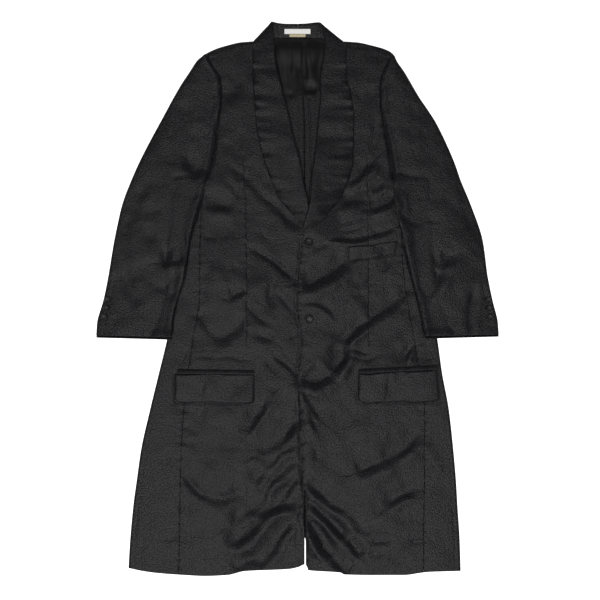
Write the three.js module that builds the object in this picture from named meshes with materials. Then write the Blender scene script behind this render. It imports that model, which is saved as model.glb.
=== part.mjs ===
// A long single-breasted jacket with a shawl collar, laid flat on its back with its front up.
// Millimetres, +Z up, the floor at Z = 0. The collar points along +Y, the wearer's left is at +X.
// Each cut piece is a thin closed wall over a grid of points, clear of its neighbours at the seams.
import * as THREE from 'three';

// Driving sizes
const CLOTH = 1.2; // wall of the main cloth with its fusing
const LIGHT_CLOTH = 1.0; // wall of lining, jets and labels
const SEAM_GAP = 0.3; // clear space between two pieces that are sewn together
const LAY_GAP = 0.45; // clear space between a piece and what it lies on
const TURN = 4; // how far in from the outline a layer starts to turn over
const FLOOR_LAYER = CLOTH / 2; // middle of the cloth that lies on the floor
const BACK_TURN_Z = 3.0; // where the back layer's turned edge ends
const FRONT_TURN_Z = 3.7; // where the front layer's turned edge ends
const SIDE_LOFT = 6.4; // height of the front layer close to the side seams
const CENTRE_LOFT = 8.6; // height of the front layer over the middle of the body
const LOFT_REACH = 60; // how far in from the side the full height is reached
const NECK_RAISE = 2.6; // how far the back's neck edge is lifted by the collar under it
const ROLL_RADIUS = 1.8; // middle radius of the collar's rolled edge
const FACING_WIDTH = 30; // reach of the collar's hidden leaf under the front
const BACK_SHORTER = 3; // how much the back's hem stays inside the front's
const SHOULDER_Y = 490; // the shoulder point, where armhole and shoulder meet
const UNDERARM_Y = 236; // the bottom of the armhole
const BREAK_Y = 130; // where the lapels end at the top button
const BREAK_BLEND = 18; // and how far below it the front edge takes over
const HEM_CALM = -400; // from here down the panels follow the hem's own line
const SEWN_TOP = 380; // from here up the panels follow the shoulder's line
const UNDERARM_LAYER = 14; // how far below the shoulder's rows a turned side begins

const CLOTH_LOOK = { color: 0x2a2a2d, roughness: 0.62, metalness: 0 };
const LINING_LOOK = { color: 0x1c1c20, roughness: 0.38, metalness: 0 };
const BUTTON_LOOK = { color: 0x141416, roughness: 0.22, metalness: 0 };
const LABEL_LOOK = { color: 0xe9e8e4, roughness: 0.8, metalness: 0 };
const TAB_LOOK = { color: 0xcfc6a8, roughness: 0.8, metalness: 0 };

// Every table is a list of named columns and one row for each section
function table(columns, rows) {
  return rows.map((row) => Object.fromEntries(columns.map((name, i) => [name, row[i]])));
}

const clamp = (v, low, high) => Math.min(high, Math.max(low, v));
const mix = (a, b, t) => a + (b - a) * t;

function smooth(v, from, to) {
  const t = clamp((v - from) / (to - from), 0, 1);
  return t * t * (3 - 2 * t);
}

// A smooth curve through a table's rows: the value of one column at a place along another
function curve(rows, along, column) {
  const sorted = [...rows].filter((r) => r[column] !== null).sort((a, b) => a[along] - b[along]);
  const u = sorted.map((r) => r[along]);
  const v = sorted.map((r) => r[column]);
  const last = u.length - 1;
  const step = u.slice(1).map((next, i) => (v[i + 1] - v[i]) / (next - u[i]));
  const slope = v.map((_, i) => {
    if (i === 0) return step[0];
    if (i === last) return step[last - 1];
    if (step[i - 1] * step[i] <= 0) return 0;
    return 2 / (1 / step[i - 1] + 1 / step[i]);
  });
  return (place) => {
    const p = clamp(place, u[0], u[last]);
    let i = 0;
    while (i < last - 1 && p > u[i + 1]) i += 1;
    const h = u[i + 1] - u[i];
    const t = (p - u[i]) / h;
    return v[i] * (1 + 2 * t) * (1 - t) ** 2 + slope[i] * h * t * (1 - t) ** 2
      + v[i + 1] * t * t * (3 - 2 * t) + slope[i + 1] * h * t * t * (t - 1);
  };
}

// The same curve as straight chords between fixed stations, so that two pieces share one seam line
function chords(smoothCurve, stations) {
  const rows = stations.map((y) => ({ y, x: smoothCurve(y) })).sort((a, b) => a.y - b.y);
  return (y) => {
    const p = clamp(y, rows[0].y, rows[rows.length - 1].y);
    let i = 0;
    while (i < rows.length - 2 && p > rows[i + 1].y) i += 1;
    return mix(rows[i].x, rows[i + 1].x, (p - rows[i].y) / (rows[i + 1].y - rows[i].y));
  };
}

// Torso below the armholes: X of the outline, the side-panel seams and the two front edges
const TORSO = table(['y', 'sideR', 'seamR', 'edgeR', 'edgeL', 'seamL', 'sideL'], [
  [236, -229, -184, 30, 11, 199, 239],
  [150, -233, -193, 30, 10, 207, 246],
  [80, -236, -195, 28, 6, 210, 252],
  [30, -241, -195, 23, 0, 215, 258],
  [-20, -248, -198, 23, -2, 223, 267],
  [-80, -260, -209, 28, 8, 233, 279],
  [-150, -277, -219, 22, 1, 246, 289],
  [-220, -294, -227, 20, 2, 254, 302],
  [-300, -312, -232, 16, 7, 254, 311],
  [-370, -322, -234, 9, 11, 254, 317],
  [-406, -327, -235, 12, 19, 253, 319],
  [-480, -334, -236, 14, 18, 252, 324],
  [-545, -338, -238, 14, 21, 252, 326],
]);

// Lapels: X of the rolled edge and of the outer edge on each side
const LAPEL = table(['y', 'rollR', 'outerR', 'rollL', 'outerL'], [
  [506, -46, -90, 56, 98],
  [476, -44, -90, 51, 98],
  [440, -36, -90, 46, 101],
  [404, -27, -87, 46, 108],
  [362, -16, -84, 42, 113],
  [316, -6, -78, 38, 113],
  [276, 5, -67, 33, 112],
  [236, 12, -53, 28, 102],
  [203, 20, -38, 26, 88],
  [176, 24, -17, 21, 66],
  [157, 27, 1, 15, 51],
  [146, 28, 11, 12, 38],
  [130, 30, 27, 9, 12],
]);

// Shoulder outline: Y at each X, and the hem: Y at each X
const SHOULDER = table(['x', 'y'], [
  [-186, 488], [-174, 494], [-160, 500], [-140, 506], [-114, 512], [-90, 514], [-60, 515],
  [64, 515], [90, 514], [120, 512], [148, 506], [170, 500], [184, 494], [192, 488],
]);
const HEM = table(['x', 'y'], [
  [-338, -538], [-310, -544], [-280, -548], [-228, -552], [-184, -554], [-140, -552],
  [-104, -544], [-18, -540], [2, -536], [14, -531], [21, -542], [86, -547], [94, -551],
  [148, -552], [214, -552], [244, -548], [260, -546], [326, -544],
]);

// Sleeves: a row of sections from the shoulder point to the cuff, outer edge and inner edge
const SLEEVE_COLUMNS = ['outerX', 'outerY', 'innerX', 'innerY'];
const SLEEVE_R = table(SLEEVE_COLUMNS, [
  [-187, 487, -182, 490], [-200, 476, -170, 464], [-216, 452, -155, 440], [-232, 428, -153, 418],
  [-246, 404, -153, 396], [-272, 356, -160, 352], [-298, 308, -166, 306], [-318, 268, -174, 268],
  [-332, 236, -184, 236], [-350, 188, -198, 188], [-366, 116, -216, 120], [-378, 44, -227, 44],
  [-388, -4, -240, 0], [-400, -46, -250, -46], [-402, -73, -252, -77],
]);
const SLEEVE_L = table(SLEEVE_COLUMNS, [
  [194, 485, 190, 489], [199, 474, 177, 464], [214, 452, 168, 440], [228, 428, 166, 418],
  [242, 404, 166, 396], [274, 356, 172, 352], [298, 308, 182, 306], [315, 268, 188, 268],
  [326, 236, 191, 236], [346, 188, 195, 188], [370, 116, 211, 120], [380, 44, 229, 44],
  [390, -4, 241, 0], [400, -46, 251, -46], [402, -71, 256, -75],
]);

// Row places, top to bottom. The armhole rows serve front, back and sleeves alike.
const ARMHOLE_ROWS = [SHOULDER_Y, 464, 440, 415, 385, 352, 320, 288, 262, UNDERARM_Y];
const TORSO_STEP = 29;
const HEM_Y = -540;
const TORSO_ROWS = [];
for (let y = UNDERARM_Y - 16; y > HEM_Y + TORSO_STEP / 2; y -= TORSO_STEP) TORSO_ROWS.push(y);
TORSO_ROWS.push(HEM_Y);
const BACK_ROWS = TORSO_ROWS.filter((_, k) => k < 3 || k % 2 === 0 || k === TORSO_ROWS.length - 1);

// Large folds of the front layer: three points along each, half width and height (below 0 a trough)
const FOLDS = table(['x1', 'y1', 'x2', 'y2', 'x3', 'y3', 'width', 'height'], [
  [-142, 250, -68, 200, -4, 142, 15, -2.4], [-160, 215, -92, 165, -30, 118, 17, 2.0],
  [-102, 104, -60, 78, -6, 36, 13, -2.6], [-56, 50, -52, 10, -56, -18, 13, -2.2],
  [-190, -42, -163, -88, -121, -57, 17, -3.0], [-150, -40, -110, -20, -70, 0, 18, 1.8],
  [9, 31, 51, 47, 93, 70, 18, -3.0], [30, 10, 70, 22, 110, 40, 18, 2.2],
  [6, -152, 45, -168, 75, -145, 20, -4.0], [75, -145, 105, -92, 135, -45, 20, -3.6],
  [135, -45, 178, -26, 223, 12, 18, -2.6], [24, -118, 62, -122, 84, -78, 20, 2.4],
  [4, -236, -25, -275, -73, -310, 16, -3.2], [4, -262, -40, -308, -90, -350, 15, 2.2],
  [4, -294, -34, -330, -84, -382, 15, -2.8], [-12, -352, -66, -404, -128, -452, 17, -2.8],
  [-6, -412, -54, -440, -132, -498, 18, -3.6], [-20, -380, -70, -428, -130, -474, 16, 2.4],
  [-214, -350, -165, -400, -103, -390, 16, -3.4], [-200, -384, -150, -424, -110, -416, 16, 2.0],
  [24, -380, 62, -406, 110, -436, 16, -2.6], [30, -424, 80, -470, 116, -494, 16, -3.2],
  [28, -446, 62, -510, 98, -544, 16, -3.2], [242, -266, 198, -310, 120, -348, 20, -3.0],
  [218, -382, 200, -400, 184, -416, 15, -2.0], [-104, -268, -86, -232, -70, -193, 18, -1.8],
]);

// Folds of the sleeves' upper layer, in the same columns
const SLEEVE_FOLDS = table(['x1', 'y1', 'x2', 'y2', 'x3', 'y3', 'width', 'height'], [
  [-272, 72, -234, 86, -222, 96, 15, -2.2], [-355, 59, -338, 17, -322, -16, 18, -2.4],
  [350, 24, 343, -20, 342, -68, 15, -2.4], [288, 50, 272, 24, 258, 4, 16, -2.4],
]);

function distanceToSegment(x, y, ax, ay, bx, by) {
  const dx = bx - ax;
  const dy = by - ay;
  const t = clamp(((x - ax) * dx + (y - ay) * dy) / (dx * dx + dy * dy), 0, 1);
  return { t, d: Math.hypot(x - ax - dx * t, y - ay - dy * t) };
}

// Sum of soft folds at a point, each fading out towards its two ends
function foldsAt(folds, x, y) {
  let sum = 0;
  for (const f of folds) {
    const first = distanceToSegment(x, y, f.x1, f.y1, f.x2, f.y2);
    const second = distanceToSegment(x, y, f.x2, f.y2, f.x3, f.y3);
    const near = first.d < second.d
      ? { d: first.d, t: first.t / 2 }
      : { d: second.d, t: 0.5 + second.t / 2 };
    const fade = smooth(near.t, -0.1, 0.25) * smooth(near.t, 1.1, 0.75);
    sum += f.height * fade * Math.exp(-((near.d / f.width) ** 2));
  }
  return sum;
}

// The curves of the cut, read from the tables
const torso = (column) => curve(TORSO, 'y', column);
const lapel = (column) => curve(LAPEL, 'y', column);
const shoulderY = curve(SHOULDER, 'x', 'y');
const hemY = curve(HEM, 'x', 'y');
const CENTRE_BACK = table(['y', 'x'], [[522, 1], [430, 9], [340, 14], [HEM_Y, 15]]);
const centreBackX = curve(CENTRE_BACK, 'y', 'x');
const armholeOf = (sleeve) => chords(curve(sleeve, 'innerY', 'innerX'), ARMHOLE_ROWS);

// The two sides of the body: sign is -1 for the wearer's right and +1 for the left
function sideOf(sign, letter, sleeve) {
  return {
    sign,
    sleeve,
    outline: torso(`side${letter}`),
    seam: torso(`seam${letter}`),
    edge: torso(`edge${letter}`),
    roll: lapel(`roll${letter}`),
    outer: lapel(`outer${letter}`),
    armhole: armholeOf(sleeve),
  };
}
const RIGHT = sideOf(-1, 'R', SLEEVE_R);
const LEFT = sideOf(1, 'L', SLEEVE_L);

// A layer's turn at an edge: 0 on the outline, 1 from TURN inwards, round in between
function turned(distance) {
  const t = 1 - clamp(distance, 0, TURN) / TURN;
  return Math.sqrt(1 - t * t);
}
const TURN_PLACES = [0, 0.134 * TURN, 0.5 * TURN, TURN];

// Height of the middle of the front layer
function frontZ(x, y) {
  const side = x < 0 ? RIGHT : LEFT;
  const inwards = Math.max(0, side.sign * (side.outline(Math.min(y, UNDERARM_Y - 16)) - x));
  const loft = mix(SIDE_LOFT, CENTRE_LOFT, 1 - Math.exp(-inwards / LOFT_REACH));
  const hemCalm = smooth(y, HEM_Y - 30, HEM_Y + 40);
  const seamCalm = smooth(inwards, 4, 40);
  const z = loft + foldsAt(FOLDS, x, y) * mix(0.5, 1, hemCalm) * seamCalm;
  const sideTurn = y < UNDERARM_Y - UNDERARM_LAYER ? turned(inwards) : 1;
  const shoulderTurn = turned(shoulderY(x) - y);
  return mix(FRONT_TURN_Z, z, Math.min(sideTurn, shoulderTurn));
}

// Height of the middle of the back layer, which lies on the floor
function backZ(x, y) {
  const side = x < 0 ? RIGHT : LEFT;
  const beyondNeck = smooth(Math.abs(x), 58, 72);
  const neckLift = NECK_RAISE * smooth(Math.abs(x), 66, 54) * smooth(y, 470, 500);
  const shoulderTurn = mix(1, turned(shoulderY(x) - y), beyondNeck);
  const inwards = side.sign * (side.outline(y) - x);
  const sideTurn = mix(1, turned(inwards), smooth(y, UNDERARM_Y, UNDERARM_Y - 26));
  return mix(BACK_TURN_Z, FLOOR_LAYER, Math.min(shoulderTurn, sideTurn)) + neckLift;
}

// The tops of all the pieces laid so far, kept as the highest point in each small cell
class Relief {
  constructor(cell, halfX, halfY) {
    this.cell = cell;
    this.halfX = halfX;
    this.halfY = halfY;
    this.columns = Math.ceil((2 * halfX) / cell);
    this.rows = Math.ceil((2 * halfY) / cell);
    this.top = new Float32Array(this.columns * this.rows);
  }

  add(mesh) {
    const p = mesh.geometry.getAttribute('position');
    const index = mesh.geometry.index;
    const corner = [new THREE.Vector3(), new THREE.Vector3(), new THREE.Vector3()];
    mesh.updateMatrixWorld(true);
    for (let k = 0; k < index.count; k += 3) {
      corner.forEach((v, i) => v.fromBufferAttribute(p, index.getX(k + i)).applyMatrix4(mesh.matrixWorld));
      this.addTriangle(corner[0], corner[1], corner[2]);
    }
    return mesh;
  }

  addTriangle(a, b, c) {
    const longest = Math.max(a.distanceTo(b), b.distanceTo(c), c.distanceTo(a));
    const n = Math.max(1, Math.ceil((2 * longest) / this.cell));
    for (let i = 0; i <= n; i += 1) {
      for (let j = 0; j <= n - i; j += 1) {
        const u = i / n;
        const v = j / n;
        const w = 1 - u - v;
        this.touch(a.x * u + b.x * v + c.x * w, a.y * u + b.y * v + c.y * w, a.z * u + b.z * v + c.z * w);
      }
    }
  }

  touch(x, y, z) {
    const column = Math.floor((x + this.halfX) / this.cell);
    const row = Math.floor((y + this.halfY) / this.cell);
    const k = row * this.columns + column;
    this.top[k] = Math.max(this.top[k], z);
  }

  // Lowest free height at a point: level with the highest top within `flat`, falling away past it
  over(x, y, flat, slope = 0.4) {
    const reach = flat + 9 / slope;
    const span = Math.ceil(reach / this.cell);
    const column = Math.floor((x + this.halfX) / this.cell);
    const row = Math.floor((y + this.halfY) / this.cell);
    let best = 0;
    for (let i = -span; i <= span; i += 1) {
      for (let j = -span; j <= span; j += 1) {
        const r = clamp(row + i, 0, this.rows - 1);
        const c = clamp(column + j, 0, this.columns - 1);
        const distance = Math.hypot(i, j) * this.cell;
        best = Math.max(best, this.top[r * this.columns + c] - slope * Math.max(0, distance - flat));
      }
    }
    return best;
  }
}
const laid = new Relief(2.5, 430, 600);

// A closed wall of even thickness over a grid of middle points
function wall(name, grid, thickness, look) {
  const rows = grid.length;
  const columns = grid[0].length;
  const point = (i, j) => grid[clamp(i, 0, rows - 1)][clamp(j, 0, columns - 1)];
  const normal = (i, j) => {
    const along = new THREE.Vector3().subVectors(point(i + 1, j), point(i - 1, j));
    const across = new THREE.Vector3().subVectors(point(i, j + 1), point(i, j - 1));
    return across.cross(along).normalize();
  };
  const positions = [];
  for (const half of [thickness / 2, -thickness / 2]) {
    for (let i = 0; i < rows; i += 1) {
      for (let j = 0; j < columns; j += 1) {
        positions.push(...point(i, j).clone().addScaledVector(normal(i, j), half).toArray());
      }
    }
  }
  const upper = (i, j) => i * columns + j;
  const lower = (i, j) => rows * columns + i * columns + j;
  const index = [];
  const quad = (a, b, c, d) => index.push(a, b, c, a, c, d);
  for (let i = 0; i < rows - 1; i += 1) {
    for (let j = 0; j < columns - 1; j += 1) {
      quad(upper(i, j), upper(i + 1, j), upper(i + 1, j + 1), upper(i, j + 1));
      quad(lower(i, j), lower(i, j + 1), lower(i + 1, j + 1), lower(i + 1, j));
    }
    quad(upper(i, 0), lower(i, 0), lower(i + 1, 0), upper(i + 1, 0));
    const last = columns - 1;
    quad(upper(i, last), upper(i + 1, last), lower(i + 1, last), lower(i, last));
  }
  for (let j = 0; j < columns - 1; j += 1) {
    quad(upper(0, j), upper(0, j + 1), lower(0, j + 1), lower(0, j));
    const last = rows - 1;
    quad(upper(last, j), lower(last, j), lower(last, j + 1), upper(last, j + 1));
  }
  return closedMesh(name, positions, index, look);
}

// A mesh from closed triangles, turned so that its faces point out
function closedMesh(name, positions, index, look) {
  const v = (k) => new THREE.Vector3().fromArray(positions, 3 * k);
  let volume = 0;
  for (let k = 0; k < index.length; k += 3) {
    volume += v(index[k]).dot(v(index[k + 1]).cross(v(index[k + 2])));
  }
  if (volume < 0) index.reverse();
  const geometry = new THREE.BufferGeometry();
  geometry.setAttribute('position', new THREE.Float32BufferAttribute(positions, 3));
  geometry.setIndex(index);
  geometry.computeVertexNormals();
  const mesh = new THREE.Mesh(geometry, new THREE.MeshStandardMaterial(look));
  mesh.name = name;
  return mesh;
}

// Places across a row of the given width, closer together at an edge that turns over
function placesAcross(width, count, turnStart, turnEnd) {
  const squeeze = Math.min(1, (0.4 * width) / TURN);
  const start = turnStart ? TURN_PLACES.map((d) => d * squeeze) : [0];
  const end = turnEnd ? TURN_PLACES.map((d) => width - d * squeeze).reverse() : [width];
  const from = start[start.length - 1];
  const to = end[0];
  const inside = Array.from({ length: count - 1 }, (_, k) => mix(from, to, (k + 1) / count));
  return [...start, ...inside, ...end];
}

// Grid between two lists of edge points: lift gives the height, shift may move a point along Y
function between(starts, ends, { count, turnStart = false, turnEnd = false, shift = null, lift }) {
  return starts.map((a, row) => {
    const b = ends[row];
    const width = Math.hypot(b[0] - a[0], b[1] - a[1]);
    return placesAcross(width, count, turnStart, turnEnd).map((s) => {
      const x = mix(a[0], b[0], s / width);
      let y = mix(a[1], b[1], s / width);
      if (shift) y += shift(x, y, row, s / width);
      return new THREE.Vector3(x, y, lift(x, y, row, s, width));
    });
  });
}

const hemShift = (x, y) => (hemY(x) - HEM_Y) * smooth(y, HEM_CALM, HEM_Y);

// How far a panel's first row moves along Y to lie on the top line, by its share across the row
function topShift([x0, y0], [x1, y1], topLine) {
  return (share) => topLine(mix(x0, x1, share)) - mix(y0, y1, share);
}

const NECK_Y = 521; // the back's neck edge
const NECK_HALF = 60; // half the width of the neck at the back

// Back panels: neck and shoulder edge, armhole, underarm and side, with the vent left open below
const VENT_TOP = -470;
const VENT_FULL = -500;
const VENT_HALF = 1.6;
function backPanel(name, side) {
  const centre = (y) => {
    const vent = VENT_HALF * smooth(y, VENT_TOP, VENT_FULL);
    return centreBackX(y) + side.sign * (SEAM_GAP / 2 + vent);
  };
  const topRows = TURN_PLACES.map((d) => ({ outerY: SHOULDER_Y - d, centreY: NECK_Y - d, top: 1 }));
  const armRows = ARMHOLE_ROWS.slice(1).map((y) => ({
    outerY: y,
    centreY: y + (NECK_Y - SHOULDER_Y) * smooth(y, 280, SHOULDER_Y),
    top: smooth(y, SEWN_TOP, SHOULDER_Y),
  }));
  const torsoRows = BACK_ROWS.map((y) => ({ outerY: y, centreY: y, top: 0 }));
  const rows = [...topRows, ...armRows, ...torsoRows];
  const starts = rows.map((r) => [centre(r.centreY), r.centreY]);
  const ends = rows.map((r) => {
    const x = r.outerY >= UNDERARM_Y ? side.armhole(r.outerY) : side.outline(r.outerY);
    const gap = r.outerY >= UNDERARM_Y ? SEAM_GAP : 0;
    return [x - side.sign * gap, r.outerY];
  });
  const neckOrShoulder = (x) => mix(NECK_Y, shoulderY(x), smooth(Math.abs(x), 20, NECK_HALF));
  const toTop = topShift(starts[0], ends[0], neckOrShoulder);
  const shift = (x, y, row, share) => {
    if (rows[row].top > 0) return toTop(share) * rows[row].top;
    return hemShift(x, y) + BACK_SHORTER * smooth(y, HEM_CALM, HEM_Y);
  };
  const grid = between(starts, ends, { count: 5, turnEnd: true, shift, lift: backZ });
  return wall(name, grid, CLOTH, CLOTH_LOOK);
}

// Front panels: from the rolled edge or the front edge out to the armhole and the side-panel seam
const NECK_CLEAR = 12; // how far the front stays back from the roll at the shoulder
const ROLL_CLEAR = 4; // and farther down, inside the fold of the collar
const SHOULDER_RISE = 25; // how much higher the shoulder line is at the neck than at the arm
function frontPanel(name, side, lift) {
  const rollStart = (y) => {
    const back = mix(ROLL_CLEAR, NECK_CLEAR, smooth(y, 462, 500));
    return side.roll(y) + side.sign * back;
  };
  const innerX = (y) => {
    if (y >= BREAK_Y) return rollStart(y);
    return mix(side.edge(y), rollStart(BREAK_Y), smooth(y, BREAK_Y - BREAK_BLEND, BREAK_Y));
  };
  const topRows = TURN_PLACES.map((d) => ({
    outerY: SHOULDER_Y - d,
    innerY: SHOULDER_Y + SHOULDER_RISE - d,
    top: 1,
  }));
  const armRows = ARMHOLE_ROWS.slice(1).map((y) => ({
    outerY: y,
    innerY: y + SHOULDER_RISE * smooth(y, 300, SHOULDER_Y),
    top: smooth(y, SEWN_TOP, SHOULDER_Y),
  }));
  const torsoRows = TORSO_ROWS.map((y) => ({ outerY: y, innerY: y, top: 0 }));
  const rows = [...topRows, ...armRows, ...torsoRows];
  const starts = rows.map((r) => [innerX(r.innerY), r.innerY]);
  const ends = rows.map((r) => {
    const x = r.outerY >= UNDERARM_Y ? side.armhole(r.outerY) : side.seam(r.outerY);
    const gap = r.outerY >= UNDERARM_Y ? SEAM_GAP : SEAM_GAP / 2;
    return [x - side.sign * gap, r.outerY];
  });
  const toTop = topShift(starts[0], ends[0], shoulderY);
  const shift = (x, y, row, share) => (
    rows[row].top > 0 ? toTop(share) * rows[row].top : hemShift(x, y)
  );
  const grid = between(starts, ends, { count: 13, shift, lift });
  return wall(name, grid, CLOTH, CLOTH_LOOK);
}

const UNDERARM_DROP = 18; // how much lower the side panel's top is at the outline

// Side panels: from the front seam to the outline, where they turn down to the back
function sidePanel(name, side) {
  const rows = [UNDERARM_Y, ...TORSO_ROWS];
  const starts = rows.map((y) => [side.seam(y) + side.sign * (SEAM_GAP / 2), y]);
  const ends = rows.map((y) => {
    const outerY = y - UNDERARM_DROP * smooth(y, 150, UNDERARM_Y);
    return [side.outline(outerY), outerY];
  });
  const grid = between(starts, ends, { count: 4, turnEnd: true, shift: hemShift, lift: frontZ });
  return wall(name, grid, CLOTH, CLOTH_LOOK);
}

// The shawl collar, one half from the back of the neck to the top button. Each section is a fold:
// the fall leaf from its outer edge to the roll, round the roll, and the inner leaf to its edge.
// turn says which way the fall leaf lies from the inner leaf: -90 below it, 0 outside, 90 above.
const COLLAR_COLUMNS = ['rollX', 'rollY', 'rollZ', 'edgeX', 'edgeY', 'edgeZ', 'inX', 'inY', 'inZ', 'turn'];
const COLLAR_R = table(COLLAR_COLUMNS, [
  [0.85, 549, 4.8, 0.85, 506, 0.6, 0.85, 522.2, 3.7, -90],
  [-20, 549, 4.8, -22, 505.5, 0.6, -18, 522.2, 3.7, -90],
  [-38, 550.5, 4.8, -40, 507, 0.6, -33, 522.2, 3.7, -80],
  [-46.5, 552.5, 5, -54, 519, 0.8, -42, 522.2, 3.8, -55],
  [-50, 553.25, 5.2, -71, 519.5, 2.4, -47, 522, 4.2, -25],
  [-51, 550.5, 5.4, -82, 519, 5.2, -50.5, 521, 4.8, 0],
  [-50.5, 546, 5.8, -86, 516.5, 7.6, -52, 517, 5.1, 30],
  [-49.5, 538, 6.4, -89, 512.5, 9.4, -53, 512, 5.2, 60],
  [-48, 527, 7.2, -90.5, 508, 10.2, -54, 507, 5.3, 80],
]);
const COLLAR_L = table(COLLAR_COLUMNS, [
  [1.15, 549, 4.8, 1.15, 506, 0.6, 1.15, 522.2, 3.7, -90],
  [15, 549.5, 4.8, 20, 505.5, 0.6, 18, 522.2, 3.7, -90],
  [29, 551, 4.8, 38, 507, 0.6, 33, 522.2, 3.7, -80],
  [38.5, 552, 5, 52, 519, 0.8, 43, 522.2, 3.8, -55],
  [43, 551.5, 5.2, 70, 519.5, 2.4, 49, 522, 4.2, -25],
  [46, 548.5, 5.4, 82, 519, 5.2, 53, 521, 4.8, 0],
  [48.5, 542, 5.8, 88, 516.5, 7.6, 56, 517, 5.1, 30],
  [51, 533, 6.4, 93, 512, 9.4, 59, 511, 5.2, 60],
  [54, 523, 7.2, 96.5, 507.5, 10.2, 61.5, 505, 5.3, 80],
]);
const LAPEL_ROWS = [
  506, 492, 476, 456, 434, 410, 386, 362, 338, 314, 290, 266, 242, 220, 200, 182, 166, 152, 141,
];
const FALL_STEPS = 4;
const FALL_CROWN = 0.7; // soft arch of the fall leaf between its edge and the roll

function lapelStations(side, baseZ) {
  return LAPEL_ROWS.map((y) => {
    const rollX = side.roll(y);
    const outerX = side.outer(y);
    const reach = Math.min(FACING_WIDTH, Math.abs(outerX - rollX) + 4) * mix(1, 0.3, smooth(y, 440, 500));
    const inX = rollX + side.sign * Math.max(5, reach);
    const rollZ = baseZ(rollX + side.sign * ROLL_CLEAR, y);
    return {
      rollX, rollY: y, rollZ, edgeX: outerX, edgeY: y, edgeZ: null, inX, inY: y,
      inZ: baseZ(inX, y) - ROLL_RADIUS - 0.2, turn: 90,
    };
  });
}

function collarHalf(name, side, stations) {
  return wall(name, stations.map((s) => collarSection(side, s)), CLOTH, CLOTH_LOOK);
}

function collarSection(side, s) {
  const roll = new THREE.Vector3(s.rollX, s.rollY, s.rollZ);
  const onFront = s.edgeZ === null;
  const edgeZ = onFront ? laid.over(s.edgeX, s.edgeY, 7) + LAY_GAP + CLOTH / 2 : s.edgeZ;
  const edge = new THREE.Vector3(s.edgeX, s.edgeY, edgeZ);
  const inner = new THREE.Vector3(s.inX, s.inY, s.inZ);
  const angle = THREE.MathUtils.degToRad(s.turn);
  const across = new THREE.Vector3(s.edgeX - s.rollX, s.edgeY - s.rollY, 0).normalize();
  const outwards = new THREE.Vector3(side.sign * Math.abs(across.y), Math.abs(across.x), 0);
  const apart = outwards.multiplyScalar(Math.cos(angle)).add(new THREE.Vector3(0, 0, Math.sin(angle)));
  const place = (along, up) => roll.clone()
    .addScaledVector(across, ROLL_RADIUS * along).addScaledVector(apart, ROLL_RADIUS * up);
  const shoulder = place(1, 1);
  const section = [];
  for (let k = 0; k < FALL_STEPS; k += 1) {
    const t = k / FALL_STEPS;
    const p = edge.clone().lerp(shoulder, t).addScaledVector(apart, FALL_CROWN * Math.sin(Math.PI * t));
    if (onFront) p.z = Math.max(p.z, laid.over(p.x, p.y, 7) + LAY_GAP + CLOTH / 2);
    section.push(p);
  }
  const innerStart = place(1, -1);
  section.push(shoulder, place(0.3, 0.7), place(0, 0), place(0.3, -0.7), innerStart);
  section.push(innerStart.clone().lerp(inner, 0.5), inner);
  return section;
}

// Lining of the upper back, where it shows in the neck, with its arched lower edge and a soft pleat
const LINING_TOP = 518;
const PLEAT_X = 10;
const LINING_EDGE = table(['x', 'y'], [[-78, 380], [-24, 392], [11, 413], [42, 420], [80, 404]]);
function liningYoke() {
  const lower = curve(LINING_EDGE, 'x', 'y');
  const count = 12;
  const xs = Array.from({ length: count + 1 }, (_, k) => mix(-70, 74, k / count));
  const steps = 7;
  const grid = Array.from({ length: steps + 1 }, (_, i) => xs.map((x) => {
    const top = LINING_TOP - 14 * smooth(Math.abs(x), 34, 52) - 30 * smooth(Math.abs(x), 46, 72);
    const y = mix(top, lower(x), i / steps);
    const pleat = 0.8 * Math.exp(-(((x - PLEAT_X) / 9) ** 2)) * smooth(y, 400, 440) * smooth(y, 516, 490);
    return new THREE.Vector3(x, y, laid.over(x, y, 8, 0.2) + LAY_GAP + LIGHT_CLOTH / 2 + pleat);
  }));
  return wall('lining_yoke', grid, LIGHT_CLOTH, LINING_LOOK);
}

// Sleeves: two layers between the same outer and inner edges, turned to meet each other there
const SLEEVE_STEPS = 2; // rows between two sections below the armhole
const ARM_SECTIONS = 8; // sections above the bottom of the armhole
function sleeveRows(sleeve) {
  const rows = ARMHOLE_ROWS.map((innerY) => ({ innerY, t: sectionAt(sleeve, innerY) }));
  for (let k = ARM_SECTIONS * SLEEVE_STEPS + 1; k <= (sleeve.length - 1) * SLEEVE_STEPS; k += 1) {
    rows.push({ t: k / SLEEVE_STEPS });
  }
  const along = sleeve.map((row, t) => ({ ...row, t }));
  const read = (column) => curve(along, 't', column);
  const [outerX, outerY, innerX, innerY] = SLEEVE_COLUMNS.map(read);
  const armhole = armholeOf(sleeve);
  return rows.map((row) => {
    const onArmhole = row.innerY !== undefined;
    const inner = onArmhole ? [armhole(row.innerY), row.innerY] : [innerX(row.t), innerY(row.t)];
    return { outer: [outerX(row.t), outerY(row.t)], inner, onArmhole };
  });
}

// The place of an armhole height among a sleeve's sections
function sectionAt(sleeve, y) {
  let k = 0;
  while (k < sleeve.length - 2 && sleeve[k + 1].innerY > y) k += 1;
  return k + (sleeve[k].innerY - y) / (sleeve[k].innerY - sleeve[k + 1].innerY);
}

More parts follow.
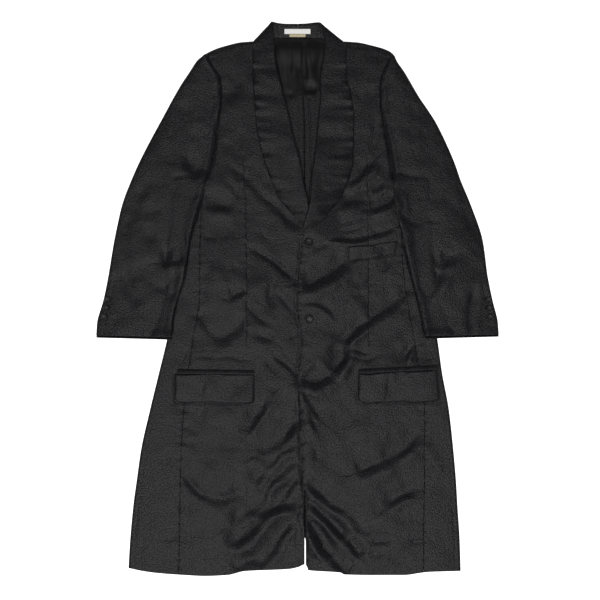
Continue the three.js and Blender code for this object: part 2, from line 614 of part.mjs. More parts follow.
const SLEEVE_LOFT = 6.6; // height of a sleeve's upper layer by its edges
const SLEEVE_CROWN = 3.0; // how much higher it is along its middle
const EDGE_RISE = 2.4; // how far the under layer's edges turn up
const CUFF_LONGER = 5; // how far the under layer shows below the upper one at the cuff
function sleeveUnder(name, side) {
  const rows = sleeveRows(side.sleeve);
  const last = rows.length - 1;
  const onFloor = (row) => rows[row].inner[1] > UNDERARM_Y + 4;
  const heights = (x, y, row) => {
    if (onFloor(row)) return FLOOR_LAYER;
    return Math.max(FLOOR_LAYER, laid.over(x, y, 19, 0.5) + LAY_GAP + CLOTH / 2);
  };
  const lift = (x, y, row, s, width) => {
    const z = heights(x, y, row);
    const innerTurn = rows[row].onArmhole ? 1 : turned(width - s);
    const innerRise = onFloor(row) ? EDGE_RISE : EDGE_RISE - 1;
    return z + EDGE_RISE * (1 - turned(s)) + innerRise * (1 - innerTurn);
  };
  const longer = (x, y, row) => (row === last ? -CUFF_LONGER : 0);
  const starts = rows.map((r) => r.outer);
  const ends = rows.map((r) => r.inner);
  const grid = between(starts, ends, { count: 5, turnStart: true, turnEnd: true, shift: longer, lift });
  return wall(name, grid, CLOTH, CLOTH_LOOK);
}

function sleeveUpper(name, side) {
  const rows = sleeveRows(side.sleeve);
  const lift = (x, y, row, s, width) => {
    const own = SLEEVE_LOFT + SLEEVE_CROWN * Math.sin(Math.PI * clamp(s / width, 0, 1)) ** 0.7;
    const ground = laid.over(x, y, 9, 0.25) + LAY_GAP + CLOTH / 2;
    const z = Math.max(own + foldsAt(SLEEVE_FOLDS, x, y), ground);
    const innerTurn = rows[row].onArmhole ? 1 : turned(width - s);
    return mix(Math.max(FRONT_TURN_Z, ground), z, Math.min(turned(s), innerTurn));
  };
  const starts = rows.map((r) => r.outer);
  const ends = rows.map((r) => r.inner);
  const grid = between(starts, ends, { count: 7, turnStart: true, turnEnd: true, lift });
  return wall(name, grid, CLOTH, CLOTH_LOOK);
}

// Flat pieces sewn onto the body: a patch between a top edge and a bottom edge, laid on what is there
function patch(name, corners, { across, down, thickness, look = CLOTH_LOOK, rounding = 0, reach = 7 }) {
  const [topStart, topEnd, lowEnd, lowStart] = corners;
  const grid = [];
  for (let i = 0; i <= down; i += 1) {
    const v = i / down;
    const row = [];
    for (let j = 0; j <= across; j += 1) {
      const u = j / across;
      const nearEnd = 1 - Math.abs(2 * u - 1);
      const x = mix(mix(topStart[0], topEnd[0], u), mix(lowStart[0], lowEnd[0], u), v);
      const trim = rounding * v * Math.exp(-nearEnd * 9);
      const y = mix(mix(topStart[1], topEnd[1], u), mix(lowStart[1], lowEnd[1], u), v) + trim;
      row.push(new THREE.Vector3(x, y, laid.over(x, y, reach, 0.3) + LAY_GAP + thickness / 2));
    }
    grid.push(row);
  }
  return wall(name, grid, thickness, look);
}

const FLAP_THICKNESS = 1.8; // two layers of cloth
const FLAP_GRID = { across: 11, down: 4, thickness: FLAP_THICKNESS, rounding: 5 };
const JET_GRID = { across: 11, down: 1, thickness: LIGHT_CLOTH };
const WELT_GRID = { across: 8, down: 2, thickness: 1.6 };
const LABEL_GRID = { across: 6, down: 1, thickness: LIGHT_CLOTH, look: LABEL_LOOK, reach: 2.5 };

// Buttons: turned discs with a raised rim and a dished middle, on the cloth
const BUTTON_PROFILE = table(['r', 'z'], [
  [0, 0], [0.72, 0], [0.94, 0.22], [1, 0.5], [0.95, 0.86], [0.8, 1], [0.62, 0.78], [0, 0.7],
]);
function button(name, x, y, diameter, height, sides) {
  const profile = BUTTON_PROFILE.map((p) => new THREE.Vector2((p.r * diameter) / 2, p.z * height));
  const geometry = new THREE.LatheGeometry(profile, sides);
  geometry.rotateX(Math.PI / 2);
  const mesh = new THREE.Mesh(geometry, new THREE.MeshStandardMaterial(BUTTON_LOOK));
  mesh.name = name;
  mesh.position.set(x, y, laid.over(x, y, diameter / 2, 1) + SEAM_GAP);
  return mesh;
}

const jacket = new THREE.Group();
jacket.name = 'long_jacket';
const lay = (mesh) => {
  jacket.add(laid.add(mesh));
  return mesh;
};

lay(backPanel('back_right', RIGHT));
lay(backPanel('back_left', LEFT));
lay(liningYoke());

// The wearer's right front and its half of the collar lie under the left
const rightLapel = lapelStations(RIGHT, frontZ);
lay(frontPanel('front_right', RIGHT, frontZ));
lay(collarHalf('collar_right', RIGHT, [...COLLAR_R, ...rightLapel]));

// The left front lies on the right one, with room for the hidden leaf of its own collar
const LEAF_ROOM = 2.8;
const LAP_TOP = 330;
const leftFrontZ = (x, y) => {
  if (y > LAP_TOP) return frontZ(x, y);
  const room = LEAF_ROOM * smooth(y, 96, 124) * smooth(y, LAP_TOP, 270);
  return Math.max(frontZ(x, y), laid.over(x, y, 17, 0.16) + LAY_GAP + CLOTH / 2 + room);
};
const leftLapel = lapelStations(LEFT, leftFrontZ);
lay(frontPanel('front_left', LEFT, leftFrontZ));
lay(collarHalf('collar_left', LEFT, [...COLLAR_L, ...leftLapel]));

lay(sidePanel('side_panel_right', RIGHT));
lay(sidePanel('side_panel_left', LEFT));

// Hip pockets with a flap under a jet on each side, and the breast pocket's welt
lay(patch('pocket_flap_right', [[-246, -150], [-86, -152], [-86, -210], [-245, -206]], FLAP_GRID));
lay(patch('pocket_flap_left', [[121, -150], [281, -142], [285, -206], [121, -208]], FLAP_GRID));
lay(patch('pocket_jet_right', [[-240, -141], [-86, -143], [-86, -151.2], [-240, -149.2]], JET_GRID));
lay(patch('pocket_jet_left', [[121, -141], [281, -133], [281, -141.2], [121, -149.2]], JET_GRID));
lay(patch('breast_welt', [[100, 102], [200, 114], [194, 90], [101, 76]], WELT_GRID));

for (const [letter, side] of [['right', RIGHT], ['left', LEFT]]) {
  lay(sleeveUnder(`sleeve_under_${letter}`, side));
  lay(sleeveUpper(`sleeve_upper_${letter}`, side));
}

// Neck label and size tab, both blank, on the inside of the collar's stand
lay(patch('neck_label', [[-26, 539], [26, 539], [26, 529], [-26, 529]], LABEL_GRID));
const TAB_GRID = { ...LABEL_GRID, look: TAB_LOOK };
lay(patch('size_tab', [[-16, 528.4], [16, 528.4], [16, 523], [-16, 523]], TAB_GRID));

const BUTTONS = table(['name', 'x', 'y', 'diameter', 'height', 'sides'], [
  ['button_front_1', 22, 112, 18, 4.2, 16],
  ['button_front_2', 23, -41, 18, 4.2, 16],
  ['button_cuff_right_1', -379, -3, 13.5, 3.4, 10],
  ['button_cuff_right_2', -381.5, -20, 13.5, 3.4, 10],
  ['button_cuff_right_3', -385, -37, 13.5, 3.4, 10],
  ['button_cuff_left_1', 380, -3, 13.5, 3.4, 10],
  ['button_cuff_left_2', 382, -20, 13.5, 3.4, 10],
  ['button_cuff_left_3', 383.5, -37, 13.5, 3.4, 10],
]);
for (const b of BUTTONS) jacket.add(button(b.name, b.x, b.y, b.diameter, b.height, b.sides));

export default jacket;
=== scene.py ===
"""A long jacket with a shawl collar, laid flat on its back: its finished cloth, buttons and stage.

Lengths in the tables are millimetres. +Y runs from the hem to the collar, +X to the wearer's left.
"""

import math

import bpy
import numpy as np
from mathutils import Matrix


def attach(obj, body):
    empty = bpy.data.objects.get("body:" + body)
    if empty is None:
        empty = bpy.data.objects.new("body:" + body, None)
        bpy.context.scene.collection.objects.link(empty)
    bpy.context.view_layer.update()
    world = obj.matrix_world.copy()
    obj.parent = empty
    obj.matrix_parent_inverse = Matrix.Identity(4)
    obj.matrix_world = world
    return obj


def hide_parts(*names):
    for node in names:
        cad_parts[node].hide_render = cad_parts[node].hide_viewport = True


bl_info = {
    "name": "Long Jacket, Laid Flat",
    "version": (1, 0, 0),
    "blender": (4, 5, 0),
    "location": "View3D > Sidebar > Jacket",
    "description": "Cloth, buttons, labels, floor and light of a long shawl-collared jacket",
    "category": "Object",
}

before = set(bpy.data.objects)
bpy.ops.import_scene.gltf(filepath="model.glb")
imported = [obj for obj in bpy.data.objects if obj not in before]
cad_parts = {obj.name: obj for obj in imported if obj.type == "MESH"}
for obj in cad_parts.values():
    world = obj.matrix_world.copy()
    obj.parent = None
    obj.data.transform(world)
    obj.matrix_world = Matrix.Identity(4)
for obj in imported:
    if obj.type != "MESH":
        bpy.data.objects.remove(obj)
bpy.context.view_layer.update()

MM = 0.001
BODY = "root"

# Driving sizes in millimetres, the same as the part's own
CLOTH = 1.2              # thickness of the cloth
LIGHT_CLOTH = 1.0        # of the jets, the label and the tab
FLAP_THICKNESS = 1.8
WELT_THICKNESS = 1.6
SEAM_GAP = 0.3           # between two pieces at a seam
TURN = 4.0               # width over which a layer turns down at its edge
BACK_TURN_Z = 3.0        # height of the back layer at such an edge
FRONT_TURN_Z = 3.7       # and of the front layer
SIDE_LOFT = 6.4          # height of the front layer at the sides
CENTRE_LOFT = 8.6        # and over the middle of the body
LOFT_REACH = 60.0        # how fast the one passes into the other
NECK_RAISE = 2.6         # lift of the back's neck edge
NECK_Y = 521.0           # the back's neck edge
NECK_HALF = 60.0         # half its width
NECK_RISE = 31.0         # from the shoulder point to it
SHOULDER_RISE = 25.0     # from the shoulder point to the front's shoulder seam
ROLL_RADIUS = 1.8        # of the collar's rolled edge
ROLL_CLEAR = 4.0         # between that edge and the front, inside the fold
NECK_CLEAR = 12.0        # the same beside the neck
FACING_WIDTH = 30.0      # width of the collar's inner leaf
HEM_Y = -540.0           # the hem's level
HEM_CALM = -400.0        # from here down the rows follow the hem's own line
BACK_SHORTER = 3.0       # how much the back's hem stays inside the front's
SEWN_TOP = 380.0         # from here up the rows follow the shoulder
ARM_TOP = 490.0          # the shoulder point
ARM_BOTTOM = 236.0       # the bottom of the armhole
BREAK_Y = 130.0          # where the lapels end, above the top button
VENT_HALF = 1.6          # half the opening at the hem of the back
VENT_TOP = -484.0        # where it begins to open
VENT_FULL = -490.0       # and where it is fully open

# Sizes of the finished cloth, in millimetres
LAY_CLEAR = 0.45         # between a piece and what it lies on
UNDER_ARMHOLE = 1.5      # the seam allowance of the layers that lie below the armhole seam
LINING = 0.4             # the lining itself, without the ease that its solid allows
NARROWEST_CUT = 10.5
LOWEST_FRONT = 2.5       # the middle of a front where it touches the back
LEAN = (-0.45, -0.9)     # the way along the table in which the cloth was smoothed down
COLLAR_STEP = 2.6        # spacing of the collar's points along it
COARSE_READS = 5         # how many points are read for each step of a coarse mesh that others lie on


def table(columns, rows):
    """Rows of numbers as one array for each named column."""
    return {name: np.array([row[i] for row in rows], float) for i, name in enumerate(columns.split())}


# The body's outlines, side seams and front edges on the wearer's right (r) and left (l)
TORSO = table("y side_r seam_r edge_r edge_l seam_l side_l", [
    (236, -229, -184, 30, 11, 199, 239),
    (150, -233, -193, 30, 10, 207, 246),
    (80, -236, -195, 28, 6, 210, 252),
    (30, -241, -195, 23, 0, 215, 258),
    (-20, -248, -198, 23, -2, 223, 267),
    (-80, -260, -209, 28, 8, 233, 279),
    (-150, -277, -219, 22, 1, 246, 289),
    (-220, -294, -227, 20, 2, 254, 302),
    (-300, -312, -232, 16, 7, 254, 311),
    (-370, -322, -234, 9, 11, 254, 317),
    (-406, -327, -235, 12, 19, 253, 319),
    (-480, -334, -236, 14, 18, 252, 324),
    (-545, -338, -238, 14, 21, 252, 326),
])

# The lapels' rolled and outer edges
LAPEL = table("y roll_r outer_r roll_l outer_l", [
    (506, -46, -90, 56, 98),
    (476, -44, -90, 51, 98),
    (440, -36, -90, 46, 101),
    (404, -27, -87, 46, 108),
    (362, -16, -84, 42, 113),
    (316, -6, -78, 38, 113),
    (276, 5, -67, 33, 112),
    (236, 12, -53, 28, 102),
    (203, 20, -38, 26, 88),
    (176, 24, -17, 21, 66),
    (157, 27, 1, 15, 51),
    (146, 28, 11, 12, 38),
    (130, 30, 27, 9, 12),
])

# The top of the body's outline, the shoulder seams in front of it, the hem and the centre back seam
SHOULDER = table("x y", [
    (-186, 488), (-174, 494), (-160, 500), (-140, 506), (-114, 512), (-90, 514), (-60, 515),
    (64, 515), (90, 514), (120, 512), (148, 506), (170, 500), (184, 494), (192, 488),
])
SHOULDER_SEAM = {
    "r": table("x y", [(-184, 489), (-160, 495), (-138, 502), (-97, 513), (-60, 520)]),
    "l": table("x y", [(60, 509), (101, 505), (140, 501), (165, 498), (190, 488)]),
}
HEM = table("x y", [
    (-338, -538), (-310, -544), (-280, -548), (-228, -552), (-184, -554), (-140, -552),
    (-104, -544), (-18, -540), (2, -536), (14, -531), (21, -542), (86, -547), (94, -551),
    (148, -552), (214, -552), (244, -548), (260, -546), (326, -544),
])
CENTRE_BACK = table("x y", [(1, 522), (9, 430), (14, 340), (15, HEM_Y)])

# The two long edges of each sleeve, from the shoulder to the cuff
SLEEVE = {
    "r": table("outer_x outer_y inner_x inner_y", [
        (-187, 487, -182, 490), (-200, 476, -170, 464), (-216, 452, -155, 440),
        (-232, 428, -153, 418), (-246, 404, -153, 396), (-272, 356, -160, 352),
        (-298, 308, -166, 306), (-318, 268, -174, 268), (-332, 236, -184, 236),
        (-350, 188, -198, 188), (-366, 116, -216, 120), (-378, 44, -227, 44),
        (-388, -4, -240, 0), (-400, -46, -250, -46), (-402, -73, -252, -77),
    ]),
    "l": table("outer_x outer_y inner_x inner_y", [
        (194, 485, 190, 489), (199, 474, 177, 464), (214, 452, 168, 440),
        (228, 428, 166, 418), (242, 404, 166, 396), (274, 356, 172, 352),
        (298, 308, 182, 306), (315, 268, 188, 268), (326, 236, 191, 236),
        (346, 188, 195, 188), (370, 116, 211, 120), (380, 44, 229, 44),
        (390, -4, 241, 0), (400, -46, 251, -46), (402, -71, 256, -75),
    ]),
}

# The long darts of the two fronts, from the chest down to the flap
DART = {
    "r": table("y x", [(286, -109), (180, -103), (60, -101), (-96, -102)]),
    "l": table("y x", [(284, 139), (160, 141), (40, 142), (-108, 143)]),
}

# Creases of the body's front: three points, half width, height (below 0 a trough) and the share of
# the height that rises as a soft roll beside it, on the left of the way along it (below 0 the right)
CREASE_COLUMNS = "x1 y1 x2 y2 x3 y3 width height roll"
BODY_CREASES = table(CREASE_COLUMNS, [
    # the wearer's right chest and waist
    (-150, 270, -106, 240, -66, 200, 8, -1.5, 0.5),
    (-84, 214, -36, 172, 8, 136, 9, -3.4, 0.5),
    (-156, 396, -130, 412, -98, 428, 13, -1.6, -0.5),
    (-160, 312, -138, 300, -112, 268, 12, -1.4, 0.5),
    (-186, 182, -155, 183, -128, 176, 8, -1.8, -0.6),
    (-150, 240, -128, 216, -104, 186, 7, -1.1, 0.5),
    (-132, 150, -146, 134, -148, 112, 10, -1.4, 0.5),
    (-98, 104, -56, 76, -2, 32, 6, -3.0, 0.6),
    (-80, 126, -60, 116, -40, 100, 8, -1.4, 0.5),
    (-42, 42, -56, 14, -50, -22, 8, -2.4, 0.7),
    (-46, 14, -30, -4, -6, -36, 4.5, -1.5, 0.6),
    (-200, -26, -184, -56, -160, -88, 9, -2.4, 0.5),
    (-168, -90, -130, -72, -100, -28, 10, -3.6, 0.5),
    (-134, 0, -118, 8, -102, 20, 6, -1.6, -0.6),
    (-104, -10, -84, -34, -52, -58, 6, -2.2, 0.6),
    (-92, -74, -70, -78, -48, -88, 8, -2.2, 0.4),
    (-46, -112, -26, -132, 0, -154, 4.5, -2.4, 0.7),
    (-68, -120, -54, -140, -36, -154, 6, -1.6, 0.5),
    (-236, -134, -220, -108, -204, -86, 4.5, -1.3, 0.6),
    (-216, -122, -150, -118, -88, -126, 4, -1.1, 0.8),
    (-16, -80, -6, -76, 6, -68, 4, -1.5, 0.6),
    (-188, 116, -174, 119, -160, 117, 4.5, -1.3, 0.5),
    (-130, 56, -122, 60, -114, 66, 5, -1.2, 0.5),
    (-186, 60, -190, 20, -184, -16, 9, -1.0, 0.5),
    (-170, 70, -150, 44, -146, 20, 12, 1.2, 0),
    # the wearer's left chest and waist
    (4, 26, 40, 32, 70, 52, 10, -3.2, -0.6),
    (56, 44, 80, 58, 104, 70, 9, -2.6, -0.5),
    (8, 60, 34, 64, 60, 62, 7, -0.9, 0.6),
    (56, 130, 88, 132, 130, 143, 4.2, -2.0, 0.8),
    (52, 126, 104, 117, 150, 125, 4.2, -1.7, -0.8),
    (146, 124, 172, 129, 196, 139, 4.2, -1.4, -0.6),
    (30, 96, 42, 102, 58, 109, 5, -1.6, 0.5),
    (10, -10, 42, -11, 74, -38, 3.6, -1.2, -0.6),
    (2, -151, 34, -168, 70, -148, 11, -3.8, -0.5),
    (64, -151, 88, -122, 97, -88, 9, -3.4, -0.6),
    (95, -93, 112, -70, 146, -44, 6, -3.2, -0.8),
    (138, -47, 172, -26, 206, -4, 10, -2.8, -0.5),
    (190, -14, 214, 8, 228, 36, 11, -1.9, 0.4),
    (98, 40, 116, 30, 134, 27, 8, -1.5, 0.4),
    (112, 12, 122, 6, 136, 8, 6, -1.2, 0.4),
    (166, 52, 180, 64, 184, 84, 4.5, -1.6, 0.6),
    (213, -131, 224, -106, 244, -97, 4.5, -1.9, -0.8),
    (232, -112, 252, -107, 276, -112, 4.5, -1.6, 0.7),
    (226, -122, 250, -118, 276, -122, 4, -1.1, 0.6),
    (96, -100, 118, -106, 146, -108, 4.5, -1.4, 0.6),
    (100, -116, 130, -122, 160, -118, 4.2, -1.1, 0.6),
    (8, -178, 28, -212, 52, -246, 4.5, -1.7, -0.7),
    (10, -190, 26, -232, 40, -268, 4.5, -1.3, -0.7),
    (158, 278, 128, 248, 98, 222, 5.5, -2.4, 0.6),
    (176, 232, 164, 222, 146, 214, 5.5, -1.6, 0.6),
    (72, 184, 104, 195, 140, 192, 10, -2.2, -0.4),
    (198, 204, 170, 186, 144, 177, 6.5, -2.6, 0.6),
    (146, 378, 150, 330, 145, 286, 10, -1.5, 0.5),
    (112, 470, 116, 430, 122, 380, 9, -1.0, 0.5),
    (150, 470, 146, 430, 142, 390, 10, -0.9, 0.5),
    (-134, 490, -128, 450, -118, 420, 9, -0.9, 0.5),
    # the wearer's right skirt
    (-52, -196, -82, -236, -104, -278, 6.5, -2.0, 0.6),
    (-130, -258, -140, -284, -142, -306, 11, -1.2, 0.5),
    (-186, -212, -190, -240, -184, -270, 6, -1.0, 0.6),
    (5, -234, -30, -278, -76, -312, 9, -3.8, 0.6),
    (5, -292, -34, -312, -66, -350, 7, -2.8, 0.6),
    (-62, -346, -80, -366, -98, -392, 7, -1.8, 0.6),
    (5, -322, -36, -354, -76, -402, 7, -2.6, 0.6),
    (-60, -386, -90, -418, -136, -454, 9, -3.6, 0.6),
    (8, -350, -18, -380, -46, -420, 6, -1.6, 0.5),
    (0, -412, -46, -418, -86, -446, 9, -4.2, 0.6),
    (-78, -440, -104, -472, -140, -500, 10, -3.8, 0.5),
    (-4, -438, -30, -472, -44, -500, 6.5, -1.9, 0.6),
    (-34, -486, -58, -516, -92, -544, 8, -2.2, 0.6),
    (-84, -516, -108, -534, -134, -548, 9, -2.4, 0.5),
    (-230, -350, -204, -384, -172, -400, 8, -3.6, 0.4),
    (-184, -398, -146, -404, -100, -388, 9, -4.0, 0.5),
    (-138, -374, -126, -384, -118, -398, 5, -1.2, 0.5),
    (-272, -486, -244, -480, -214, -494, 5.5, -1.7, 0.6),
    (-244, -290, -226, -288, -206, -294, 5, -1.2, 0.6),
    (-232, -258, -216, -262, -204, -270, 6, -1.0, 0.5),
    (-270, -356, -266, -392, -268, -430, 11, -1.1, 0.5),
    (-246, -196, -236, -222, -212, -226, 8, -1.1, 0.5),
    # the wearer's left skirt
    (18, -366, 56, -402, 102, -436, 6.5, -2.4, -0.7),
    (98, -432, 118, -454, 134, -478, 8, -1.6, -0.5),
    (25, -410, 62, -446, 96, -484, 6.5, -3.6, -0.7),
    (92, -480, 112, -500, 128, -518, 6, -2.2, -0.5),
    (20, -424, 38, -478, 74, -528, 7, -3.4, -0.8),
    (68, -520, 86, -540, 104, -552, 7, -3.4, -0.8),
    (244, -264, 206, -306, 160, -332, 10, -3.2, 0.5),
    (170, -328, 142, -342, 116, -350, 9, -1.8, 0.5),
    (234, -386, 206, -396, 176, -420, 7, -2.3, 0.5),
    (144, -490, 166, -487, 190, -481, 5, -1.6, 0.6),
    (142, -520, 158, -514, 176, -518, 8, -2.0, 0.5),
    (222, -490, 246, -487, 272, -481, 5, -1.6, 0.6),
    (32, -296, 36, -310, 34, -326, 6, -1.3, 0.5),
    (150, -396, 156, -412, 150, -430, 8, -1.0, 0.5),
    (60, -216, 74, -236, 80, -262, 10, -0.9, 0.5),
    (286, -330, 276, -300, 262, -276, 8, -1.1, 0.5),
    # the right front's hem fold and the edge of its facing, as faint lines
    (-32, -489, -8, -490, 15, -489, 2.6, -0.8, 0.4),
    (-1, -398, -3, -460, 0, -526, 2.6, -0.8, 0.4),
])

# Creases of the lapels, sleeves, back, pockets and lining, in the same columns
LAPEL_CREASES = table(CREASE_COLUMNS, [
    (-86, 456, -66, 452, -44, 446, 8, 1.3, 0),
    (-86, 426, -64, 424, -40, 420, 8, -1.2, 0),
    (-86, 398, -62, 394, -34, 390, 7, 1.3, 0),
    (-82, 366, -56, 360, -26, 352, 11, -1.1, 0),
    (-78, 336, -50, 331, -16, 326, 7, 1.1, 0),
    (-70, 290, -44, 284, -8, 272, 10, -0.7, 0),
    (-60, 262, -34, 250, -4, 232, 9, 0.7, 0),
    (96, 448, 76, 442, 54, 436, 8, 1.2, 0),
    (100, 427, 78, 425, 52, 423, 6, -1.2, 0),
    (104, 412, 80, 412, 50, 410, 6, 1.4, 0),
    (108, 392, 80, 386, 48, 380, 10, -1.3, 0),
    (108, 362, 78, 360, 46, 356, 9, 0.9, 0),
    (108, 280, 86, 282, 60, 283, 3.5, -1.3, 0.6),
    (106, 262, 78, 258, 42, 250, 10, 1.1, 0),
    (64, 220, 50, 208, 30, 198, 8, -1.4, 0.4),
    (94, 330, 76, 322, 52, 312, 10, -0.6, 0),
])
SLEEVE_CREASES = table(CREASE_COLUMNS, [
    (-243, 152, -230, 112, -221, 82, 5, -2.2, 0.6),
    (-274, 70, -250, 74, -224, 82, 7, -2.2, -0.5),
    (-356, 62, -340, 18, -320, -20, 13, -2.2, 0.5),
    (-312, 128, -296, 122, -280, 126, 12, -1.2, 0.4),
    (-200, 240, -214, 262, -238, 270, 9, -1.4, 0.5),
    (-196, 200, -222, 214, -246, 212, 8, -1.6, -0.6),
    (-286, 26, -262, 14, -246, -6, 9, -1.5, 0.5),
    (-310, 232, -326, 200, -338, 170, 11, -1.0, 0.5),
    (-236, 396, -224, 356, -222, 318, 12, -0.9, 0.5),
    (350, 28, 343, -26, 342, -72, 8, -2.4, 0.6),
    (290, 54, 274, 26, 256, 2, 8, -2.4, 0.6),
    (312, 92, 303, 78, 284, 74, 11, -1.4, 0.5),
    (196, 214, 216, 198, 240, 196, 9, -1.6, 0.5),
    (194, 176, 220, 158, 250, 152, 9, -1.3, -0.5),
    (246, 96, 262, 76, 286, 70, 10, -1.2, 0.5),
    (326, 196, 336, 160, 350, 130, 11, -1.0, -0.5),
    (232, 392, 222, 350, 226, 310, 12, -0.9, -0.5),
])
BACK_CREASES = table(CREASE_COLUMNS, [
    (-190, 250, -120, 180, -40, 120, 12, 1.2, 0),
    (-150, 60, -90, 30, -20, -30, 12, 1.0, 0),
    (-200, -60, -140, -110, -60, -120, 13, 1.3, 0),
    (-250, -240, -180, -300, -90, -330, 14, 1.4, 0),
    (-60, -220, -90, -320, -150, -400, 12, 1.2, 0),
    (-40, -400, -110, -450, -200, -480, 14, 1.3, 0),
    (200, 260, 130, 190, 50, 150, 12, 1.1, 0),
    (60, 70, 130, 40, 210, 50, 12, 1.1, 0),
    (70, -80, 150, -120, 230, -110, 13, 1.3, 0),
    (60, -230, 130, -300, 240, -330, 14, 1.4, 0),
    (90, -380, 160, -430, 250, -440, 12, 1.2, 0),
    (50, -420, 80, -480, 100, -530, 12, 1.1, 0),
])
POCKET_CREASES = table(CREASE_COLUMNS, [
    (184, -146, 180, -176, 174, -208, 4.5, -1.9, 0.6),
    (-191, -150, -190, -178, -195, -206, 4.5, -1.7, 0.6),
    (-146, -158, -140, -184, -146, -206, 8, -0.9, 0.5),
    (236, -150, 240, -176, 234, -200, 8, -0.9, 0.5),
    (262, -206, 272, -192, 286, -184, 4.5, -1.6, 0.6),
    (120, 100, 126, 88, 122, 78, 5, -0.9, 0.5),
    (166, 108, 170, 96, 164, 84, 5, -0.9, 0.5),
])
LINING_CREASES = table(CREASE_COLUMNS, [
    (12, 520, 11, 470, 15, 420, 5.0, -3.4, 0.5),
    (-20, 512, -17, 470, -23, 425, 4.5, -1.7, 0.5),
    (-40, 506, -35, 460, -28, 415, 4.2, -1.7, 0.4),
    (0, 470, 1, 445, -3, 420, 3.6, -1.2, 0),
    (42, 508, 38, 460, 40, 428, 4.4, -1.8, -0.4),
    (27, 496, 27, 466, 31, 440, 4.0, 1.2, 0),
    (-36, 418, -18, 407, -6, 410, 4.2, -1.6, 0),
    (-46, 446, -30, 428, -10, 420, 5.0, 1.2, 0),
    (38, 411, 25, 415, 13, 411, 4.5, -3.2, 0.3),
])

# The collar's stations behind the neck: roll line, edge of the fall leaf, edge of the inner leaf,
# and the turn of the fall leaf: -90 below the inner one, 0 outside it, 90 above
COLLAR_COLUMNS = "roll_x roll_y roll_z edge_x edge_y edge_z in_x in_y in_z turn"
COLLAR = {
    "r": table(COLLAR_COLUMNS, [
        (1.0, 549, 4.8, 0.85, 506, 0.6, 0.85, 522.2, 3.7, -90),
        (-20, 549, 4.8, -22, 505.5, 0.6, -18, 522.2, 3.7, -90),
        (-38, 550.5, 4.8, -40, 507, 0.6, -33, 522.2, 3.7, -80),
        (-46.5, 552.5, 5, -54, 519, 0.8, -42, 522.2, 3.8, -55),
        (-50, 553.25, 5.2, -71, 519.5, 2.4, -47, 522, 4.2, -25),
        (-51, 550.5, 5.4, -82, 519, 5.2, -50.5, 521, 4.8, 0),
        (-50.5, 546, 5.8, -86, 516.5, 7.6, -52, 517, 5.1, 30),
        (-49.5, 538, 6.4, -89, 512.5, 9.4, -53, 512, 5.2, 60),
        (-48, 527, 7.2, -90.5, 508, 10.2, -54, 507, 5.3, 80),
        (-46, 506, 8.3, -90, 506, 10.4, -57, 506, 6.3, 90),
    ]),
    "l": table(COLLAR_COLUMNS, [
        (1.0, 549, 4.8, 1.15, 506, 0.6, 1.15, 522.2, 3.7, -90),
        (15, 549.5, 4.8, 20, 505.5, 0.6, 18, 522.2, 3.7, -90),
        (29, 551, 4.8, 38, 507, 0.6, 33, 522.2, 3.7, -80),
        (38.5, 552, 5, 52, 519, 0.8, 43, 522.2, 3.8, -55),
        (43, 551.5, 5.2, 70, 519.5, 2.4, 49, 522, 4.2, -25),
        (46, 548.5, 5.4, 82, 519, 5.2, 53, 521, 4.8, 0),
        (48.5, 542, 5.8, 88, 516.5, 7.6, 56, 517, 5.1, 30),
        (51, 533, 6.4, 93, 512, 9.4, 59, 511, 5.2, 60),
        (54, 523, 7.2, 96.5, 507.5, 10.2, 61.5, 505, 5.3, 80),
        (56, 506, 8.3, 98, 506, 10.4, 67, 506, 6.3, 90),
    ]),
}

# The lower edge of the lining that the neck shows
LINING_EDGE = table("x y", [
    (-78, 380), (-24, 390), (8, 406), (15, 404), (24, 401), (35, 404), (42, 416), (80, 404),
])

# Corners of the pocket pieces and labels: the upper edge from -X to +X, then the lower one back
FLAPS = {
    "right": ((-246, -150), (-86, -152), (-86, -210), (-245, -206)),
    "left": ((121, -150), (281, -142), (285, -206), (121, -208)),
}
JETS = {
    "right": ((-240, -141), (-86, -143), (-86, -151.2), (-240, -149.2)),
    "left": ((121, -141), (281, -133), (281, -141.2), (121, -149.2)),
}
WELT = ((100, 102), (200, 114), (194, 90), (101, 76))
NECK_LABEL = ((-26, 539), (26, 539), (26, 529), (-26, 529))
SIZE_TAB = ((-16, 528.4), (16, 528.4), (16, 523), (-16, 523))

# Buttons: centre, diameter and height, and how many degrees each leans and towards which side
BUTTONS = {
    "front_1": (22, 112, 18.0, 4.2, 4, 60),
    "front_2": (23, -41, 18.0, 4.2, 9, -60),
    "cuff_right_1": (-379, -3, 13.5, 3.4, 3, 180),
    "cuff_right_2": (-381.5, -20, 13.5, 3.4, 2, 150),
    "cuff_right_3": (-385, -37, 13.5, 3.4, 4, 200),
    "cuff_left_1": (380, -3, 13.5, 3.4, 3, 0),
    "cuff_left_2": (382, -20, 13.5, 3.4, 3, 30),
    "cuff_left_3": (383.5, -37, 13.5, 3.4, 2, -20),
}
BUTTONHOLES = ([(12, 101), (26, 99), (37, 99)], [(12, -28), (26, -30), (37, -30)])


# Small mathematics

def clamp(v, low, high):
    """v kept between low and high."""
    return np.minimum(high, np.maximum(low, v))


def mix(a, b, t):
    """The value a share t of the way from a to b."""
    return a + (b - a) * t


def smooth(v, start, end):
    """0 at start, 1 at end, with a soft passage between them."""
    t = clamp((v - start) / (end - start), 0.0, 1.0)
    return t * t * (3 - 2 * t)


def eased(v, low, reach):
    """v, let down softly to low where it would fall below low + reach."""
    return np.where(v < low + reach, low + reach * np.exp(np.minimum(v - low - reach, 0) / reach), v)


def bell(distance, width):
    """A soft bump of height 1 at distance 0."""
    return np.exp(-(distance / width) ** 2)


def numbered(rows):
    """A table with one more column, place, that holds the number of each row."""
    count = len(next(iter(rows.values())))
    return {**rows, "place": np.arange(count, dtype=float)}


